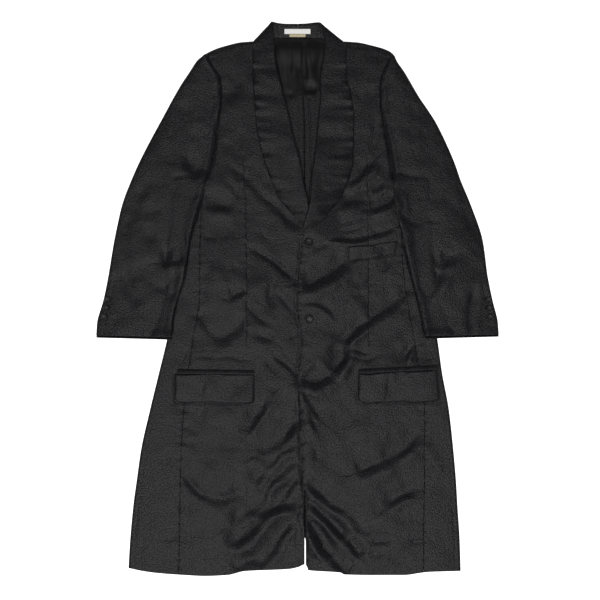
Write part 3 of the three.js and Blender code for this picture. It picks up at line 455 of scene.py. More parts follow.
def curve(rows, along, column):
    """A smooth curve through a table's rows that never overshoots them."""
    order = np.argsort(rows[along])
    u = rows[along][order]
    v = rows[column][order]
    step = np.diff(v) / np.diff(u)
    slope = np.empty_like(v)
    slope[0] = step[0]
    slope[-1] = step[-1]
    before, after = step[:-1], step[1:]
    same_way = before * after > 0
    safe = np.where(same_way, before + after, 1.0)
    slope[1:-1] = np.where(same_way, 2 * before * after / safe, 0.0)

    def at(place):
        p = np.clip(place, u[0], u[-1])
        i = np.clip(np.searchsorted(u, p, side="right") - 1, 0, len(u) - 2)
        h = u[i + 1] - u[i]
        t = (p - u[i]) / h
        start = v[i] * (1 + 2 * t) * (1 - t) ** 2 + slope[i] * h * t * (1 - t) ** 2
        return start + v[i + 1] * t * t * (3 - 2 * t) + slope[i + 1] * h * t * t * (t - 1)
    return at


def unevenness(seed, size):
    """Soft irregular values of about -1 to 1 over the plane, with features of the given size."""
    lattice = np.random.default_rng(seed).uniform(-1, 1, (64, 64))

    def at(x, y):
        gx = np.asarray(x, float) / size + 32.0
        gy = np.asarray(y, float) / size + 32.0
        column = np.floor(gx).astype(int)
        row = np.floor(gy).astype(int)
        tx = gx - column
        ty = gy - row
        tx = tx * tx * (3 - 2 * tx)
        ty = ty * ty * (3 - 2 * ty)
        value = 0.0
        for i, wy in ((0, 1 - ty), (1, ty)):
            for j, wx in ((0, 1 - tx), (1, tx)):
                value = value + wx * wy * lattice[(row + i) % 64, (column + j) % 64]
        return value
    return at


# Seed and size in millimetres of each kind of unevenness
WANDER_X = unevenness(11, 23.0)
WANDER_Y = unevenness(12, 23.0)
STRENGTH = unevenness(13, 31.0)
BROAD = unevenness(14, 74.0)
MEDIUM = unevenness(15, 29.0)
FINE = unevenness(16, 11.0)
PUCKER = unevenness(17, 5.2)


# Forms of the garment

class Side:
    """The curves of one side of the body: sign is -1 for the wearer's right, +1 for the left."""

    def __init__(self, sign, letter):
        self.sign = sign
        self.letter = letter
        self.outline = curve(TORSO, "y", "side_" + letter)
        self.seam = curve(TORSO, "y", "seam_" + letter)
        self.edge = curve(TORSO, "y", "edge_" + letter)
        self.roll = curve(LAPEL, "y", "roll_" + letter)
        self.outer = curve(LAPEL, "y", "outer_" + letter)
        self.armhole = curve(SLEEVE[letter], "inner_y", "inner_x")
        self.dart = curve(DART[letter], "y", "x")
        self.shoulder_seam = curve(SHOULDER_SEAM[letter], "x", "y")


RIGHT = Side(-1, "r")
LEFT = Side(1, "l")
SIDES = {"right": RIGHT, "left": LEFT}
shoulder_y = curve(SHOULDER, "x", "y")
hem_y = curve(HEM, "x", "y")
centre_back_x = curve(CENTRE_BACK, "y", "x")


def turned(distance):
    """A layer's turn at an edge: 0 on the outline, 1 from TURN inwards, round in between."""
    t = 1 - clamp(distance, 0.0, TURN) / TURN
    return np.sqrt(1 - t * t)


def crease_path(row):
    """Points along one crease: a smooth arc through its three given points."""
    start = np.array([row["x1"], row["y1"]])
    middle = np.array([row["x2"], row["y2"]])
    end = np.array([row["x3"], row["y3"]])
    control = 2 * middle - (start + end) / 2
    t = np.linspace(0, 1, 9)[:, None]
    return start * (1 - t) ** 2 + control * 2 * t * (1 - t) + end * t ** 2


def creases(rows, x, y):
    """Height of a table's creases at each point; each fades towards its ends and wanders a little."""
    px = x + 2.2 * WANDER_X(x, y)
    py = y + 2.2 * WANDER_Y(x, y)
    total = np.zeros_like(px)
    for k in range(len(rows["x1"])):
        row = {name: values[k] for name, values in rows.items()}
        path = crease_path(row)
        reach = 4.5 * row["width"]
        low = path.min(axis=0) - reach
        high = path.max(axis=0) + reach
        near = (px > low[0]) & (px < high[0]) & (py > low[1]) & (py < high[1])
        if near.any():
            total[near] += one_crease(row, path, px[near], py[near])
    return total


def one_crease(row, path, px, py):
    """Height of one crease: a trough or ridge that leans towards the hem, with a soft roll beside it."""
    best = np.full(px.shape, 1e9)
    beside = np.zeros(px.shape)
    along = np.zeros(px.shape)
    steps = len(path) - 1
    for i in range(steps):
        ax, ay = path[i]
        dx, dy = path[i + 1] - path[i]
        length_squared = dx * dx + dy * dy
        t = np.clip(((px - ax) * dx + (py - ay) * dy) / length_squared, 0, 1)
        ex = px - ax - dx * t
        ey = py - ay - dy * t
        distance = np.hypot(ex, ey)
        closer = distance < best
        best = np.where(closer, distance, best)
        beside = np.where(closer, np.sign(dx * ey - dy * ex) * distance, beside)
        along = np.where(closer, (i + t) / steps, along)
    width = row["width"]
    towards_roll = beside * (1.0 if row["roll"] >= 0 else -1.0)
    way = path[-1] - path[0]
    lean = np.sign(LEAN[0] * way[1] - LEAN[1] * way[0]) * np.sign(row["height"])
    from_bottom = beside * lean + 0.7 * width
    core = bell(from_bottom, np.where(from_bottom > 0, 1.3, 2.8) * width)
    roll = abs(row["roll"]) * bell(towards_roll - 1.9 * width, 1.4 * width)
    fade = smooth(along, -0.12, 0.3) * smooth(along, 1.12, 0.7)
    uneven = 1 + 0.28 * STRENGTH(px, py)
    return row["height"] * fade * uneven * (core - roll)


def broad_relief(x, y):
    """The slow unevenness of cloth that lies loosely."""
    return 0.8 * BROAD(x, y) + 0.75 * MEDIUM(x, y) + 0.2 * FINE(x, y)


def inwards_of(x, y):
    """Distance of a body point from the side's outline."""
    level = np.minimum(y, ARM_BOTTOM - 16)
    return np.maximum(0.0, np.where(x < 0, x - RIGHT.outline(level), LEFT.outline(level) - x))


def groove_beside(corners, x, y):
    """How far the cloth sinks along the two ends and the lower edge of a pocket piece."""
    line = np.array([corners[0], corners[3], corners[2], corners[1]], float)
    nearest = np.full(np.shape(x), 1e9)
    for start, end in zip(line[:-1], line[1:]):
        way = end - start
        t = clamp(((x - start[0]) * way[0] + (y - start[1]) * way[1]) / (way @ way), 0.0, 1.0)
        nearest = np.minimum(nearest, np.hypot(x - start[0] - way[0] * t, y - start[1] - way[1] * t))
    return seam_dip(nearest, 1.0, 2.8)


def front_z(x, y, strength=1.0):
    """Height of the middle of the front layer."""
    inwards = inwards_of(x, y)
    loft = mix(SIDE_LOFT, CENTRE_LOFT, 1 - np.exp(-inwards / LOFT_REACH))
    calm = mix(0.55, 1.0, smooth(y, HEM_Y - 8, HEM_Y + 30)) * smooth(inwards, 1, 20)
    z = loft + strength * calm * (creases(BODY_CREASES, x, y) + broad_relief(x, y))
    for corners in (*FLAPS.values(), WELT):
        z = z + groove_beside(corners, x, y)
    z = eased(z, LOWEST_FRONT, 2.0)
    side_turn = np.where(y < ARM_BOTTOM - 14, turned(inwards), 1.0)
    return mix(FRONT_TURN_Z, z, np.minimum(side_turn, turned(shoulder_y(x) - y)))


def back_z(x, y):
    """Height of the middle of the back layer, which lies on the floor with a few low folds."""
    inwards = np.where(x < 0, x - RIGHT.outline(y), LEFT.outline(y) - x)
    beyond_neck = smooth(np.abs(x), 58, 72)
    neck_lift = NECK_RAISE * smooth(np.abs(x), 66, 54) * smooth(y, 470, 500)
    shoulder_turn = mix(1.0, turned(shoulder_y(x) - y), beyond_neck)
    side_turn = mix(1.0, turned(inwards), smooth(y, ARM_BOTTOM, 210))
    fold = np.maximum(0.0, creases(BACK_CREASES, x, y)) * smooth(inwards, 6, 40)
    from_centre = np.abs(x - centre_back_x(y))
    fold = fold + 0.9 * smooth(from_centre, 11.6, 10.4) * smooth(from_centre, 0.0, 1.6)
    flat = CLOTH / 2 + fold
    return mix(BACK_TURN_Z, flat, np.minimum(shoulder_turn, side_turn)) + neck_lift


def seam_dip(distance, depth=0.9, width=2.4):
    """How far a panel's surface sinks towards a seam."""
    return -depth * bell(distance, width)


def puckers(distance, along, height, reach=7.0):
    """Short uneven ripples that a row of stitches pulls into the cloth beside it."""
    side = np.sign(distance) * 40.0
    return height * PUCKER(side, along) * np.exp(-np.abs(distance) / reach)


class Relief:
    """The tops of the pieces laid so far, on a grid of small cells."""

    CELL = 2.0       # side of a cell
    HALF_X = 430.0   # half the grid's width and length
    HALF_Y = 600.0
    FALL = 9.0       # the most that a ground falls away beside a top

    def __init__(self):
        rows = int(2 * self.HALF_Y / self.CELL)
        columns = int(2 * self.HALF_X / self.CELL)
        self.top = np.zeros((rows, columns))

    def add(self, points, times=3):
        """Take in an upper surface: an (n, m, 3) grid of points."""
        fine = refined(refined(points, times).swapaxes(0, 1), times).reshape(-1, 3)
        column = ((fine[:, 0] + self.HALF_X) / self.CELL).astype(int)
        row = ((fine[:, 1] + self.HALF_Y) / self.CELL).astype(int)
        np.maximum.at(self.top, (row, column), fine[:, 2])

    def over(self, flat, slope, passes=2):
        """A smooth ground over all the tops: level within flat of each, then falling at slope."""
        ground = self.top
        for _ in range(int(round(flat / self.CELL))):
            ground = spread(ground, 0.0)
        drop = slope * self.CELL
        for _ in range(int(self.FALL / drop)):
            ground = spread(ground, drop)
        for _ in range(passes):
            ground = softened(ground)

        def at(x, y):
            gx = np.asarray(x, float) / self.CELL + self.HALF_X / self.CELL - 0.5
            gy = np.asarray(y, float) / self.CELL + self.HALF_Y / self.CELL - 0.5
            column = np.clip(np.floor(gx).astype(int), 0, ground.shape[1] - 2)
            row = np.clip(np.floor(gy).astype(int), 0, ground.shape[0] - 2)
            tx = gx - column
            ty = gy - row
            low = mix(ground[row, column], ground[row, column + 1], tx)
            high = mix(ground[row + 1, column], ground[row + 1, column + 1], tx)
            return mix(low, high, ty)
        return at


def refined(points, times):
    """A grid of points with straight steps put in between its rows."""
    shares = np.arange(times) / times
    between = [mix(points[:-1], points[1:], t) for t in shares]
    rows = np.stack(between, axis=1).reshape((-1,) + points.shape[1:])
    return np.concatenate([rows, points[-1:]])


def spread(ground, drop):
    """Each cell raised to its highest neighbour less the drop between them."""
    rows, columns = ground.shape
    padded = np.pad(ground, 1, mode="edge")
    best = ground
    for i in range(3):
        for j in range(3):
            fall = drop * math.hypot(i - 1, j - 1)
            best = np.maximum(best, padded[i:i + rows, j:j + columns] - fall)
    return best


def softened(ground):
    """A ground with its small steps evened out."""
    padded = np.pad(ground, 1, mode="edge")
    tall = (padded[:-2] + 2 * padded[1:-1] + padded[2:]) / 4
    return (tall[:, :-2] + 2 * tall[:, 1:-1] + tall[:, 2:]) / 4


# How far from an edge the points of a row lie, close together so that the edge can turn round
EDGE_PLACES = np.array([0.0, 0.12, 0.5, 1.1, 2.2, 4.0])


def places(width, count, fine_start=True, fine_end=True):
    """Distances along rows of the given widths, closer together at fine ends: an (n, m) array."""
    width = np.asarray(width, float)[:, None]
    squeeze = np.minimum(1.0, 0.3 * width / EDGE_PLACES[-1])
    start = squeeze * (EDGE_PLACES if fine_start else EDGE_PLACES[:1])
    end = width - squeeze * (EDGE_PLACES if fine_end else EDGE_PLACES[:1])
    inside = mix(start[:, -1:], end[:, -1:], np.arange(1, count) / count)
    return np.hstack([start, inside, end[:, ::-1]])


def levels(top, bottom, step):
    """Row places from top down to bottom, closer together at both ends."""
    count = int(round((top - bottom) / step))
    return top - places([top - bottom], count)[0]


def step_lengths(points):
    """Distance travelled along the first axis of a grid of points."""
    steps = np.linalg.norm(np.diff(points, axis=0), axis=-1)
    return np.concatenate([np.zeros((1,) + steps.shape[1:]), np.cumsum(steps, axis=0)])


def shell(points, thickness):
    """A closed wall of cloth round a grid of middle points, thinned round at its edges."""
    rows, columns = points.shape[:2]
    along = np.gradient(points, axis=0)
    across = np.gradient(points, axis=1)
    normal = np.cross(across, along)
    normal /= np.maximum(np.linalg.norm(normal, axis=-1, keepdims=True), 1e-9)
    down = step_lengths(points)
    over = step_lengths(points.swapaxes(0, 1)).swapaxes(0, 1)
    from_edge = np.minimum(np.minimum(down, down[-1:] - down), np.minimum(over, over[:, -1:] - over))
    t = 1 - clamp(from_edge / (0.8 * thickness), 0.0, 1.0)
    half = thickness / 2 * np.maximum(np.sqrt(1 - t * t), 0.12)[..., None]
    upper = points + normal * half
    lower = points - normal * half
    vertices = np.concatenate([upper.reshape(-1, 3), lower.reshape(-1, 3)])
    number = np.arange(rows * columns).reshape(rows, columns)
    under = number + rows * columns
    quads = [
        quad_list(number[:-1, :-1], number[1:, :-1], number[1:, 1:], number[:-1, 1:]),
        quad_list(under[:-1, :-1], under[:-1, 1:], under[1:, 1:], under[1:, :-1]),
        quad_list(number[:-1, 0], under[:-1, 0], under[1:, 0], number[1:, 0]),
        quad_list(number[:-1, -1], number[1:, -1], under[1:, -1], under[:-1, -1]),
        quad_list(number[0, :-1], number[0, 1:], under[0, 1:], under[0, :-1]),
        quad_list(number[-1, :-1], under[-1, :-1], under[-1, 1:], number[-1, 1:]),
    ]
    cut = np.concatenate([np.stack([over, -down], axis=-1).reshape(-1, 2)] * 2)
    return vertices, outwards(vertices, np.concatenate(quads)), cut, np.maximum(upper, lower)


def quad_list(a, b, c, d):
    """Four arrays of vertex numbers as a list of quads."""
    return np.stack([a, b, c, d], axis=-1).reshape(-1, 4)


def outwards(vertices, quads):
    """The quads of a closed form, turned so that they face out."""
    a, b, c, d = (vertices[quads[:, i]] for i in range(4))
    volume = np.einsum("ij,ij->i", a, np.cross(b, c)).sum() + np.einsum("ij,ij->i", a, np.cross(c, d)).sum()
    return quads if volume > 0 else quads[:, ::-1]


def make_object(name, vertices, quads, cut=None, sharp=60.0):
    """A smooth-shaded object in metres from millimetre points, with its flat cut as the UV map."""
    mesh = bpy.data.meshes.new(name)
    mesh.vertices.add(len(vertices))
    mesh.vertices.foreach_set("co", (np.asarray(vertices) * MM).ravel())
    mesh.loops.add(4 * len(quads))
    mesh.loops.foreach_set("vertex_index", quads.ravel().astype(np.int32))
    mesh.polygons.add(len(quads))
    mesh.polygons.foreach_set("loop_start", np.arange(0, 4 * len(quads), 4, dtype=np.int32))
    mesh.update(calc_edges=True)
    if cut is not None:
        flat = mesh.uv_layers.new(name="cut")
        flat.data.foreach_set("uv", (cut[quads.ravel()] * MM).ravel())
    if mesh.validate():
        raise RuntimeError(f"{name}: its mesh had faults")
    mesh.set_sharp_from_angle(angle=math.radians(sharp))
    obj = bpy.data.objects.new(name, mesh)
    bpy.context.scene.collection.objects.link(obj)
    return obj


def cloth_piece(node, points, material, thickness=CLOTH, times=3):
    """One laid piece of cloth: its wall, its place among the others and its flat cut."""
    vertices, quads, cut, upper = shell(points, thickness)
    obj = make_object("cloth_" + node, vertices, quads, cut)
    obj.data.materials.append(material)
    LAID.add(upper, times)
    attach(obj, BODY)
    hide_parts(node)
    width = max(NARROWEST_CUT, float(step_lengths(points.swapaxes(0, 1))[-1].max()))
    return obj


LAID = Relief()


def resting(top):
    """Height of the middle of a cloth that lies on a surface of the given height."""
    return top + LAY_CLEAR + CLOTH / 2


# Panels of the body

def body_rows(lift_at_top, step, hem_drop):
    """Rows from the shoulder to the hem: height at the outer edge, at the inner edge, share of top."""
    outer = levels(ARM_TOP, HEM_Y, step)
    top = smooth(outer, SEWN_TOP, ARM_TOP)
    inner = outer + lift_at_top * smooth(outer, 290, ARM_TOP)
    drop = hem_drop * smooth(outer, HEM_CALM, HEM_Y)
    return outer, inner, top, drop


def hem_shift(x, y):
    """How far a point moves along Y so that the last row follows the hem."""
    return (hem_y(x) - HEM_Y) * smooth(y, HEM_CALM, HEM_Y)


def panel_points(start_x, end_x, rows, distances, top_line):
    """Points of a body panel between two edges, with its first row on the top line."""
    outer, inner, top, drop = (values[:, None] for values in rows)
    share = distances / distances[:, -1:]
    x = mix(start_x[:, None], end_x[:, None], share)
    y = mix(inner, outer, share)
    to_top = top_line(mix(start_x[0], end_x[0], share)) - mix(inner[0], outer[0], share)
    y = y + to_top * top + hem_shift(x, y) + drop
    return x, y


def neck_or_shoulder(x):
    """The top line of the back: its neck edge in the middle and the shoulders outside it."""
    neck = mix(NECK_Y, shoulder_y(x), smooth(np.abs(x), 20, NECK_HALF))
    return np.where(np.abs(x) < NECK_HALF, neck, shoulder_y(x))


def back_points(side, step):
    """Middle points of one back panel: above the vent the two lap in the centre seam."""
    rows = body_rows(NECK_RISE, step, BACK_SHORTER)
    outer_y, inner_y = rows[:2]
    vent = VENT_HALF * smooth(inner_y, VENT_TOP, VENT_FULL)
    closed = -0.6 * smooth(inner_y, VENT_FULL, VENT_TOP)
    start = centre_back_x(inner_y) + side.sign * (vent + closed)
    on_armhole = outer_y >= ARM_BOTTOM
    end = np.where(on_armhole, side.armhole(outer_y), side.outline(outer_y))
    end = end + side.sign * UNDER_ARMHOLE * on_armhole
    width = np.abs(end - start)
    distances = places(width, int(width.max() / step))
    x, y = panel_points(start, end, rows, distances, neck_or_shoulder)
    return np.stack([x, y, back_z(x, y)], axis=-1)


def front_inner_x(side, y):
    """The front's inner edge: inside the collar's roll above the break, the front edge below it."""
    back = mix(ROLL_CLEAR, NECK_CLEAR, smooth(y, 462, 500))
    level = np.maximum(y, BREAK_Y)
    under_roll = side.roll(level) + side.sign * np.where(y >= BREAK_Y, back, ROLL_CLEAR)
    return np.where(y >= BREAK_Y, under_roll, mix(side.edge(y), under_roll, smooth(y, 112, BREAK_Y)))


def front_points(side, lift, step):
    """Middle points of one front, with a line of points kept on its dart."""
    rows = body_rows(SHOULDER_RISE, step, 0.0)
    outer_y, inner_y = rows[:2]
    start = front_inner_x(side, inner_y)
    on_armhole = outer_y >= ARM_BOTTOM
    end = np.where(on_armhole, side.armhole(outer_y), side.seam(outer_y))
    end = end - side.sign * np.where(on_armhole, SEAM_GAP, SEAM_GAP / 2)
    width = np.abs(end - start)
    to_dart = clamp(side.sign * (side.dart(outer_y) - start), 20.0, width - 20.0)
    first = places(to_dart, int(to_dart.max() / step))
    second = places(width - to_dart, int((width - to_dart).max() / step))
    distances = np.hstack([first, to_dart[:, None] + second[:, 1:]])
    x, y = panel_points(start, end, rows, distances, shoulder_y)
    z = lift(x, y)

    # the dart pulls the cloth in along its row of stitches
    dart_fade = smooth(y, 292, 270) * smooth(y, -104, -92)
    from_dart = side.sign * (x - side.dart(y))
    z = z + dart_fade * (seam_dip(from_dart, 0.3, 1.4) + puckers(from_dart, y, 0.8))

    # the armhole's seam lies deep under the arm and thin over the shoulder
    from_seam = distances[:, -1:] - distances
    at_armhole = smooth(y, 232, 244)
    armhole_dip = mix(seam_dip(from_seam, 1.1, 1.8), seam_dip(from_seam, 2.6, 4.6), smooth(y, 400, 310))
    z = z + mix(seam_dip(from_seam, 0.2), armhole_dip, at_armhole)
    z = z + puckers(from_seam, y, 0.8) + seam_dip(y - side.shoulder_seam(x), 0.9, 1.6)

    # the front edge is sewn down; the left one's presses a groove into the right front
    below_break = smooth(y, 128, 108)
    dip, ripple = (1.2, 1.1) if side is LEFT else (0.3, 0.3)
    z = z + below_break * (puckers(distances, y, ripple, 9.0) + seam_dip(distances, dip, 3.2))
    if side is RIGHT:
        z = z + below_break * seam_dip(x - LEFT.edge(y) + 1.0, 1.4, 4.0)
    return np.stack([x, y, z], axis=-1)


def side_points(side, step):
    """Middle points of one side panel, which turns down to the back at the outline."""
    y_rows = levels(ARM_BOTTOM, HEM_Y, step)
    start = side.seam(y_rows) + side.sign * SEAM_GAP / 2
    outer_y = y_rows - 18 * smooth(y_rows, 150, ARM_BOTTOM)
    end = side.outline(outer_y)
    width = np.abs(end - start)
    distances = places(width, int(width.max() / step))
    share = distances / width[:, None]
    x = mix(start[:, None], end[:, None], share)
    y = mix(y_rows[:, None], outer_y[:, None], share)
    y = y + hem_shift(x, y)
    z = front_z(x, y) + seam_dip(distances, 0.2) + puckers(distances, y, 0.8)

    # it sinks under the sleeve's inner edge, most where the arm is wide
    high_up = smooth(y, 70, 200)
    by_sleeve = seam_dip(x - side.armhole(y), mix(1.5, 3.2, high_up), mix(3.0, 6.5, high_up))
    z = z + by_sleeve * smooth(y, -80, -60) * smooth(y, 244, 226)

    # the seam to the back shows as a line near the outline
    from_outline = distances[:, -1:] - distances
    below_pocket = smooth(y, -215, -290)
    z = z + below_pocket * (seam_dip(from_outline - 9, 0.6, 1.5) + puckers(from_outline - 9, y, 0.4))
    return np.stack([x, y, z], axis=-1)


# The shawl collar

FALL_STEPS = 15
INNER_STEPS = 6
NECK_STATIONS = 60
LAPEL_TOP = 506.0        # where the stations behind the neck pass into the lapel
LAPEL_END = 141.0

# The section of the rolled edge, from the fall leaf round to the inner one, in roll radii
ROLL_TURN = np.array([(1, 1), (0.62, 0.93), (0.3, 0.72), (0.08, 0.4), (0, 0), (0.08, -0.4),
                      (0.3, -0.72), (0.62, -0.93), (1, -1)], float)


def collar_stations(side, base_z, step):
    """All stations of one collar half, from behind the neck down to the top button."""
    rows = numbered(COLLAR[side.letter])
    neck = np.linspace(0, rows["place"][-1], NECK_STATIONS)[:-1]
    station = {name: curve(rows, "place", name)(neck) for name in COLLAR_COLUMNS.split()}
    y = levels(LAPEL_TOP, LAPEL_END, step)
    roll_x = side.roll(y)
    outer_x = side.outer(y)
    reach = np.minimum(FACING_WIDTH, np.abs(outer_x - roll_x) + 4) * mix(1, 0.3, smooth(y, 440, 500))
    in_x = roll_x + side.sign * np.maximum(5, reach)
    lapel = {
        "roll_x": roll_x, "roll_y": y, "roll_z": base_z(roll_x + side.sign * ROLL_CLEAR, y),
        "edge_x": outer_x, "edge_y": y, "edge_z": np.zeros_like(y),
        "in_x": in_x, "in_y": y, "in_z": base_z(in_x, y) - ROLL_RADIUS - 0.2,
        "turn": np.full_like(y, 90.0),
    }
    both = {name: np.concatenate([station[name], lapel[name]]) for name in station}
    both["on_front"] = np.concatenate([np.zeros(len(neck)), np.ones(len(y))])
    return both


def collar_points(side, base_z, step):
    """Middle points of one collar half: its fall leaf, its roll and its inner leaf."""
    s = collar_stations(side, base_z, step)
    ground = LAID.over(flat=5.0, slope=0.4)
    roll = np.stack([s["roll_x"], s["roll_y"], s["roll_z"]], axis=-1)
    on_front = s["on_front"][:, None]
    laid_z = resting(ground(s["edge_x"], s["edge_y"]))
    edge = np.stack([s["edge_x"], s["edge_y"], np.where(s["on_front"] > 0, laid_z, s["edge_z"])], axis=-1)
    inner = np.stack([s["in_x"], s["in_y"], s["in_z"]], axis=-1)
    across = edge - roll
    across[:, 2] = 0
    across /= np.linalg.norm(across, axis=1, keepdims=True)
    angle = np.radians(s["turn"])[:, None]
    level = np.stack([side.sign * np.abs(across[:, 1]), np.abs(across[:, 0]), np.zeros(len(roll))], axis=-1)
    apart = level * np.cos(angle) + np.array([0.0, 0.0, 1.0]) * np.sin(angle)

    def at_roll(forward, up):
        """The stations' points on the rolled edge, at a place of its section."""
        return roll + across * (ROLL_RADIUS * forward) + apart * (ROLL_RADIUS * up)

    shoulder = at_roll(1, 1)
    fall_places = places(np.full(1, 50.0), FALL_STEPS, fine_end=False)[0] / 50.0
    section = []
    for t in fall_places[:-1]:
        p = mix(edge, shoulder, t) + apart * (0.7 * math.sin(math.pi * t))
        lowest = resting(ground(p[:, 0], p[:, 1]))
        p[:, 2] = np.where(s["on_front"] > 0, np.maximum(p[:, 2], lowest), p[:, 2])
        section.append(p)
    section += [at_roll(forward, up) for forward, up in ROLL_TURN]
    start = section[-1]
    section += [mix(start, inner, k / INNER_STEPS) for k in range(1, INNER_STEPS + 1)]
    points = np.stack(section, axis=1)

    # creases and puckers belong to the fall leaf of the lapels, and end before its roll
    fall = np.concatenate([np.ones(len(fall_places)), np.linspace(0.9, 0, 5), np.zeros(len(section))])
    fall = fall[:len(section)][None, :] * on_front * smooth(points[..., 1], 508, 488)
    from_edge = np.abs(points[..., 0] - edge[:, None, 0])
    x, y = points[..., 0], points[..., 1]
    own = creases(LAPEL_CREASES, x, y) + 0.5 * broad_relief(x + 300, y)
    own = own + puckers(from_edge, y * 0.5, 3.6, 13.0) + 0.9 * smooth(from_edge, 0.2, 3.0)
    points[..., 2] += fall * own * smooth(y, 140, 170)
    return points


LINING_START = -70.0
LINING_WIDTH = 144.0
LINING_DEPTH = 120.0
LINING_TOP = 519.5


def lining_points():
    """Middle points of the upper back's lining, with its soft pleats and its arched lower edge."""
    lower = curve(LINING_EDGE, "x", "y")
    ground = LAID.over(flat=6.0, slope=0.2)
    x_row = LINING_START + places([LINING_WIDTH], 80)[0]
    top = LINING_TOP - 30 * smooth(np.abs(x_row), 56, 74)
    share = places([LINING_DEPTH], 60)[0][:, None] / LINING_DEPTH
    y = mix(top[None, :], lower(x_row)[None, :], share)
    x = np.broadcast_to(x_row, y.shape)
    inside = smooth(x - RIGHT.roll(y), -2, 12) * smooth(LEFT.roll(y) - x, -2, 12)
    raised = 3.0 * smooth(y, 518, 496) + 0.5 * MEDIUM(x * 2.0, y * 0.7)
    z = ground(x, y) + LAY_CLEAR + inside * np.maximum(0, raised + creases(LINING_CREASES, x, y))
    return np.stack([x, y, z], axis=-1)


# Sleeves

SLEEVE_LOFT = 6.6        # height of the upper layer
CROWN = 3.0              # how much higher it is along its middle
CUFF_LONGER = 5.0        # how far the under layer shows at the cuff


def sleeve_frame(side, step, longer):
    """Points of a sleeve's outer and inner edge, from the shoulder to the cuff at even steps."""
    rows = numbered(SLEEVE[side.letter])
    outer_x, outer_y, inner_x, inner_y = (curve(rows, "place", name) for name in SLEEVE[side.letter])
    fine = np.linspace(0, rows["place"][-1], 600)
    middle = np.stack([(outer_x(fine) + inner_x(fine)) / 2, (outer_y(fine) + inner_y(fine)) / 2], axis=-1)
    travelled = step_lengths(middle)
    wanted = travelled[-1] - levels(travelled[-1], 0.0, step)
    place = np.interp(wanted, travelled, fine)
    outer = np.stack([outer_x(place), outer_y(place)], axis=-1)
    level = inner_y(place)
    edge = np.where(level >= ARM_BOTTOM, side.armhole(level), inner_x(place))
    inner = np.stack([edge, level], axis=-1)
    drop = -longer * smooth(inner[:, 1], -20, -72)
    outer[:, 1] += drop
    inner[:, 1] += drop
    return outer, inner


def sleeve_plane(side, step, longer=0.0):
    """X and Y of a sleeve layer's points, with each point's distance from its two long edges."""
    outer, inner = sleeve_frame(side, step, longer)
    width = np.linalg.norm(inner - outer, axis=1)
    distances = places(width, int(width.max() / step))
    share = distances / width[:, None]
    x = mix(outer[:, :1], inner[:, :1], share)
    y = mix(outer[:, 1:], inner[:, 1:], share)
    return x, y, distances, width[:, None] - distances, inner[:, 1:]


def sleeve_under_points(side, step):
    """Middle points of a sleeve's under layer: on the floor, and over the body's edge below the arm."""
    x, y, from_outer, from_inner, inner_y = sleeve_plane(side, step, longer=CUFF_LONGER)
    ground = LAID.over(flat=14.0, slope=0.5)
    on_body = smooth(inner_y, 244, 232)
    laid_z = np.maximum(CLOTH / 2, resting(ground(x, y)))
    z = mix(CLOTH / 2, laid_z, on_body)
    inner_turn = mix(1.0, turned(from_inner), on_body)
    rise = mix(2.4, 1.4, on_body)
    z = z + 2.4 * (1 - turned(from_outer)) + rise * (1 - inner_turn)
    from_cuff = y - y[-1:]
    z = z + 2.8 * bell(from_cuff, 4.5) * smooth(from_outer, 0, 8)
    return np.stack([x, y, z], axis=-1)


def sleeve_upper_points(side, step):
    """Middle points of a sleeve's upper layer, full along its middle and round at the cap."""
    x, y, from_outer, from_inner, inner_y = sleeve_plane(side, step)
    width = from_outer + from_inner
    ground = LAID.over(flat=7.0, slope=0.25)(x, y)
    off_armhole = smooth(inner_y, 240, 228)
    crown = CROWN * np.sin(np.pi * clamp(from_outer / width, 0.0, 1.0)) ** 0.7
    cap = (1 - off_armhole) * 1.9 * bell(from_inner - 7, 6.0)
    fine = (1 - off_armhole) * puckers(from_inner, y, 0.5, 14.0)
    own = SLEEVE_LOFT + crown + 1.4 * broad_relief(x, y) + cap + fine
    inner_roll = 2.8 * smooth(inner_y, 246, 170) * np.exp(-from_inner / 15)
    high = np.maximum(own, resting(ground) + inner_roll)
    lowest = resting(LAID.over(flat=2.0, slope=0.8, passes=1)(x, y))
    high = np.maximum(lowest, high + 2.0 * creases(SLEEVE_CREASES, x, y))
    inner_turn = mix(1.0, turned(from_inner), off_armhole)
    turn_z = np.maximum(FRONT_TURN_Z, resting(ground))
    z = mix(turn_z, high, np.minimum(turned(from_outer), inner_turn))
    armhole_dip = mix(seam_dip(from_inner, 1.3, 1.8), seam_dip(from_inner, 3.2, 4.0), smooth(y, 400, 310))
    z = z + (1 - off_armhole) * armhole_dip
    from_cuff = y - y[-1:]
    z = z + seam_dip(from_outer - 13, 0.5, 1.3) * smooth(y, 60, 0) + seam_dip(from_cuff - 38, 0.25, 2.0)
    return np.stack([x, y, z], axis=-1)


# Pieces sewn onto the body

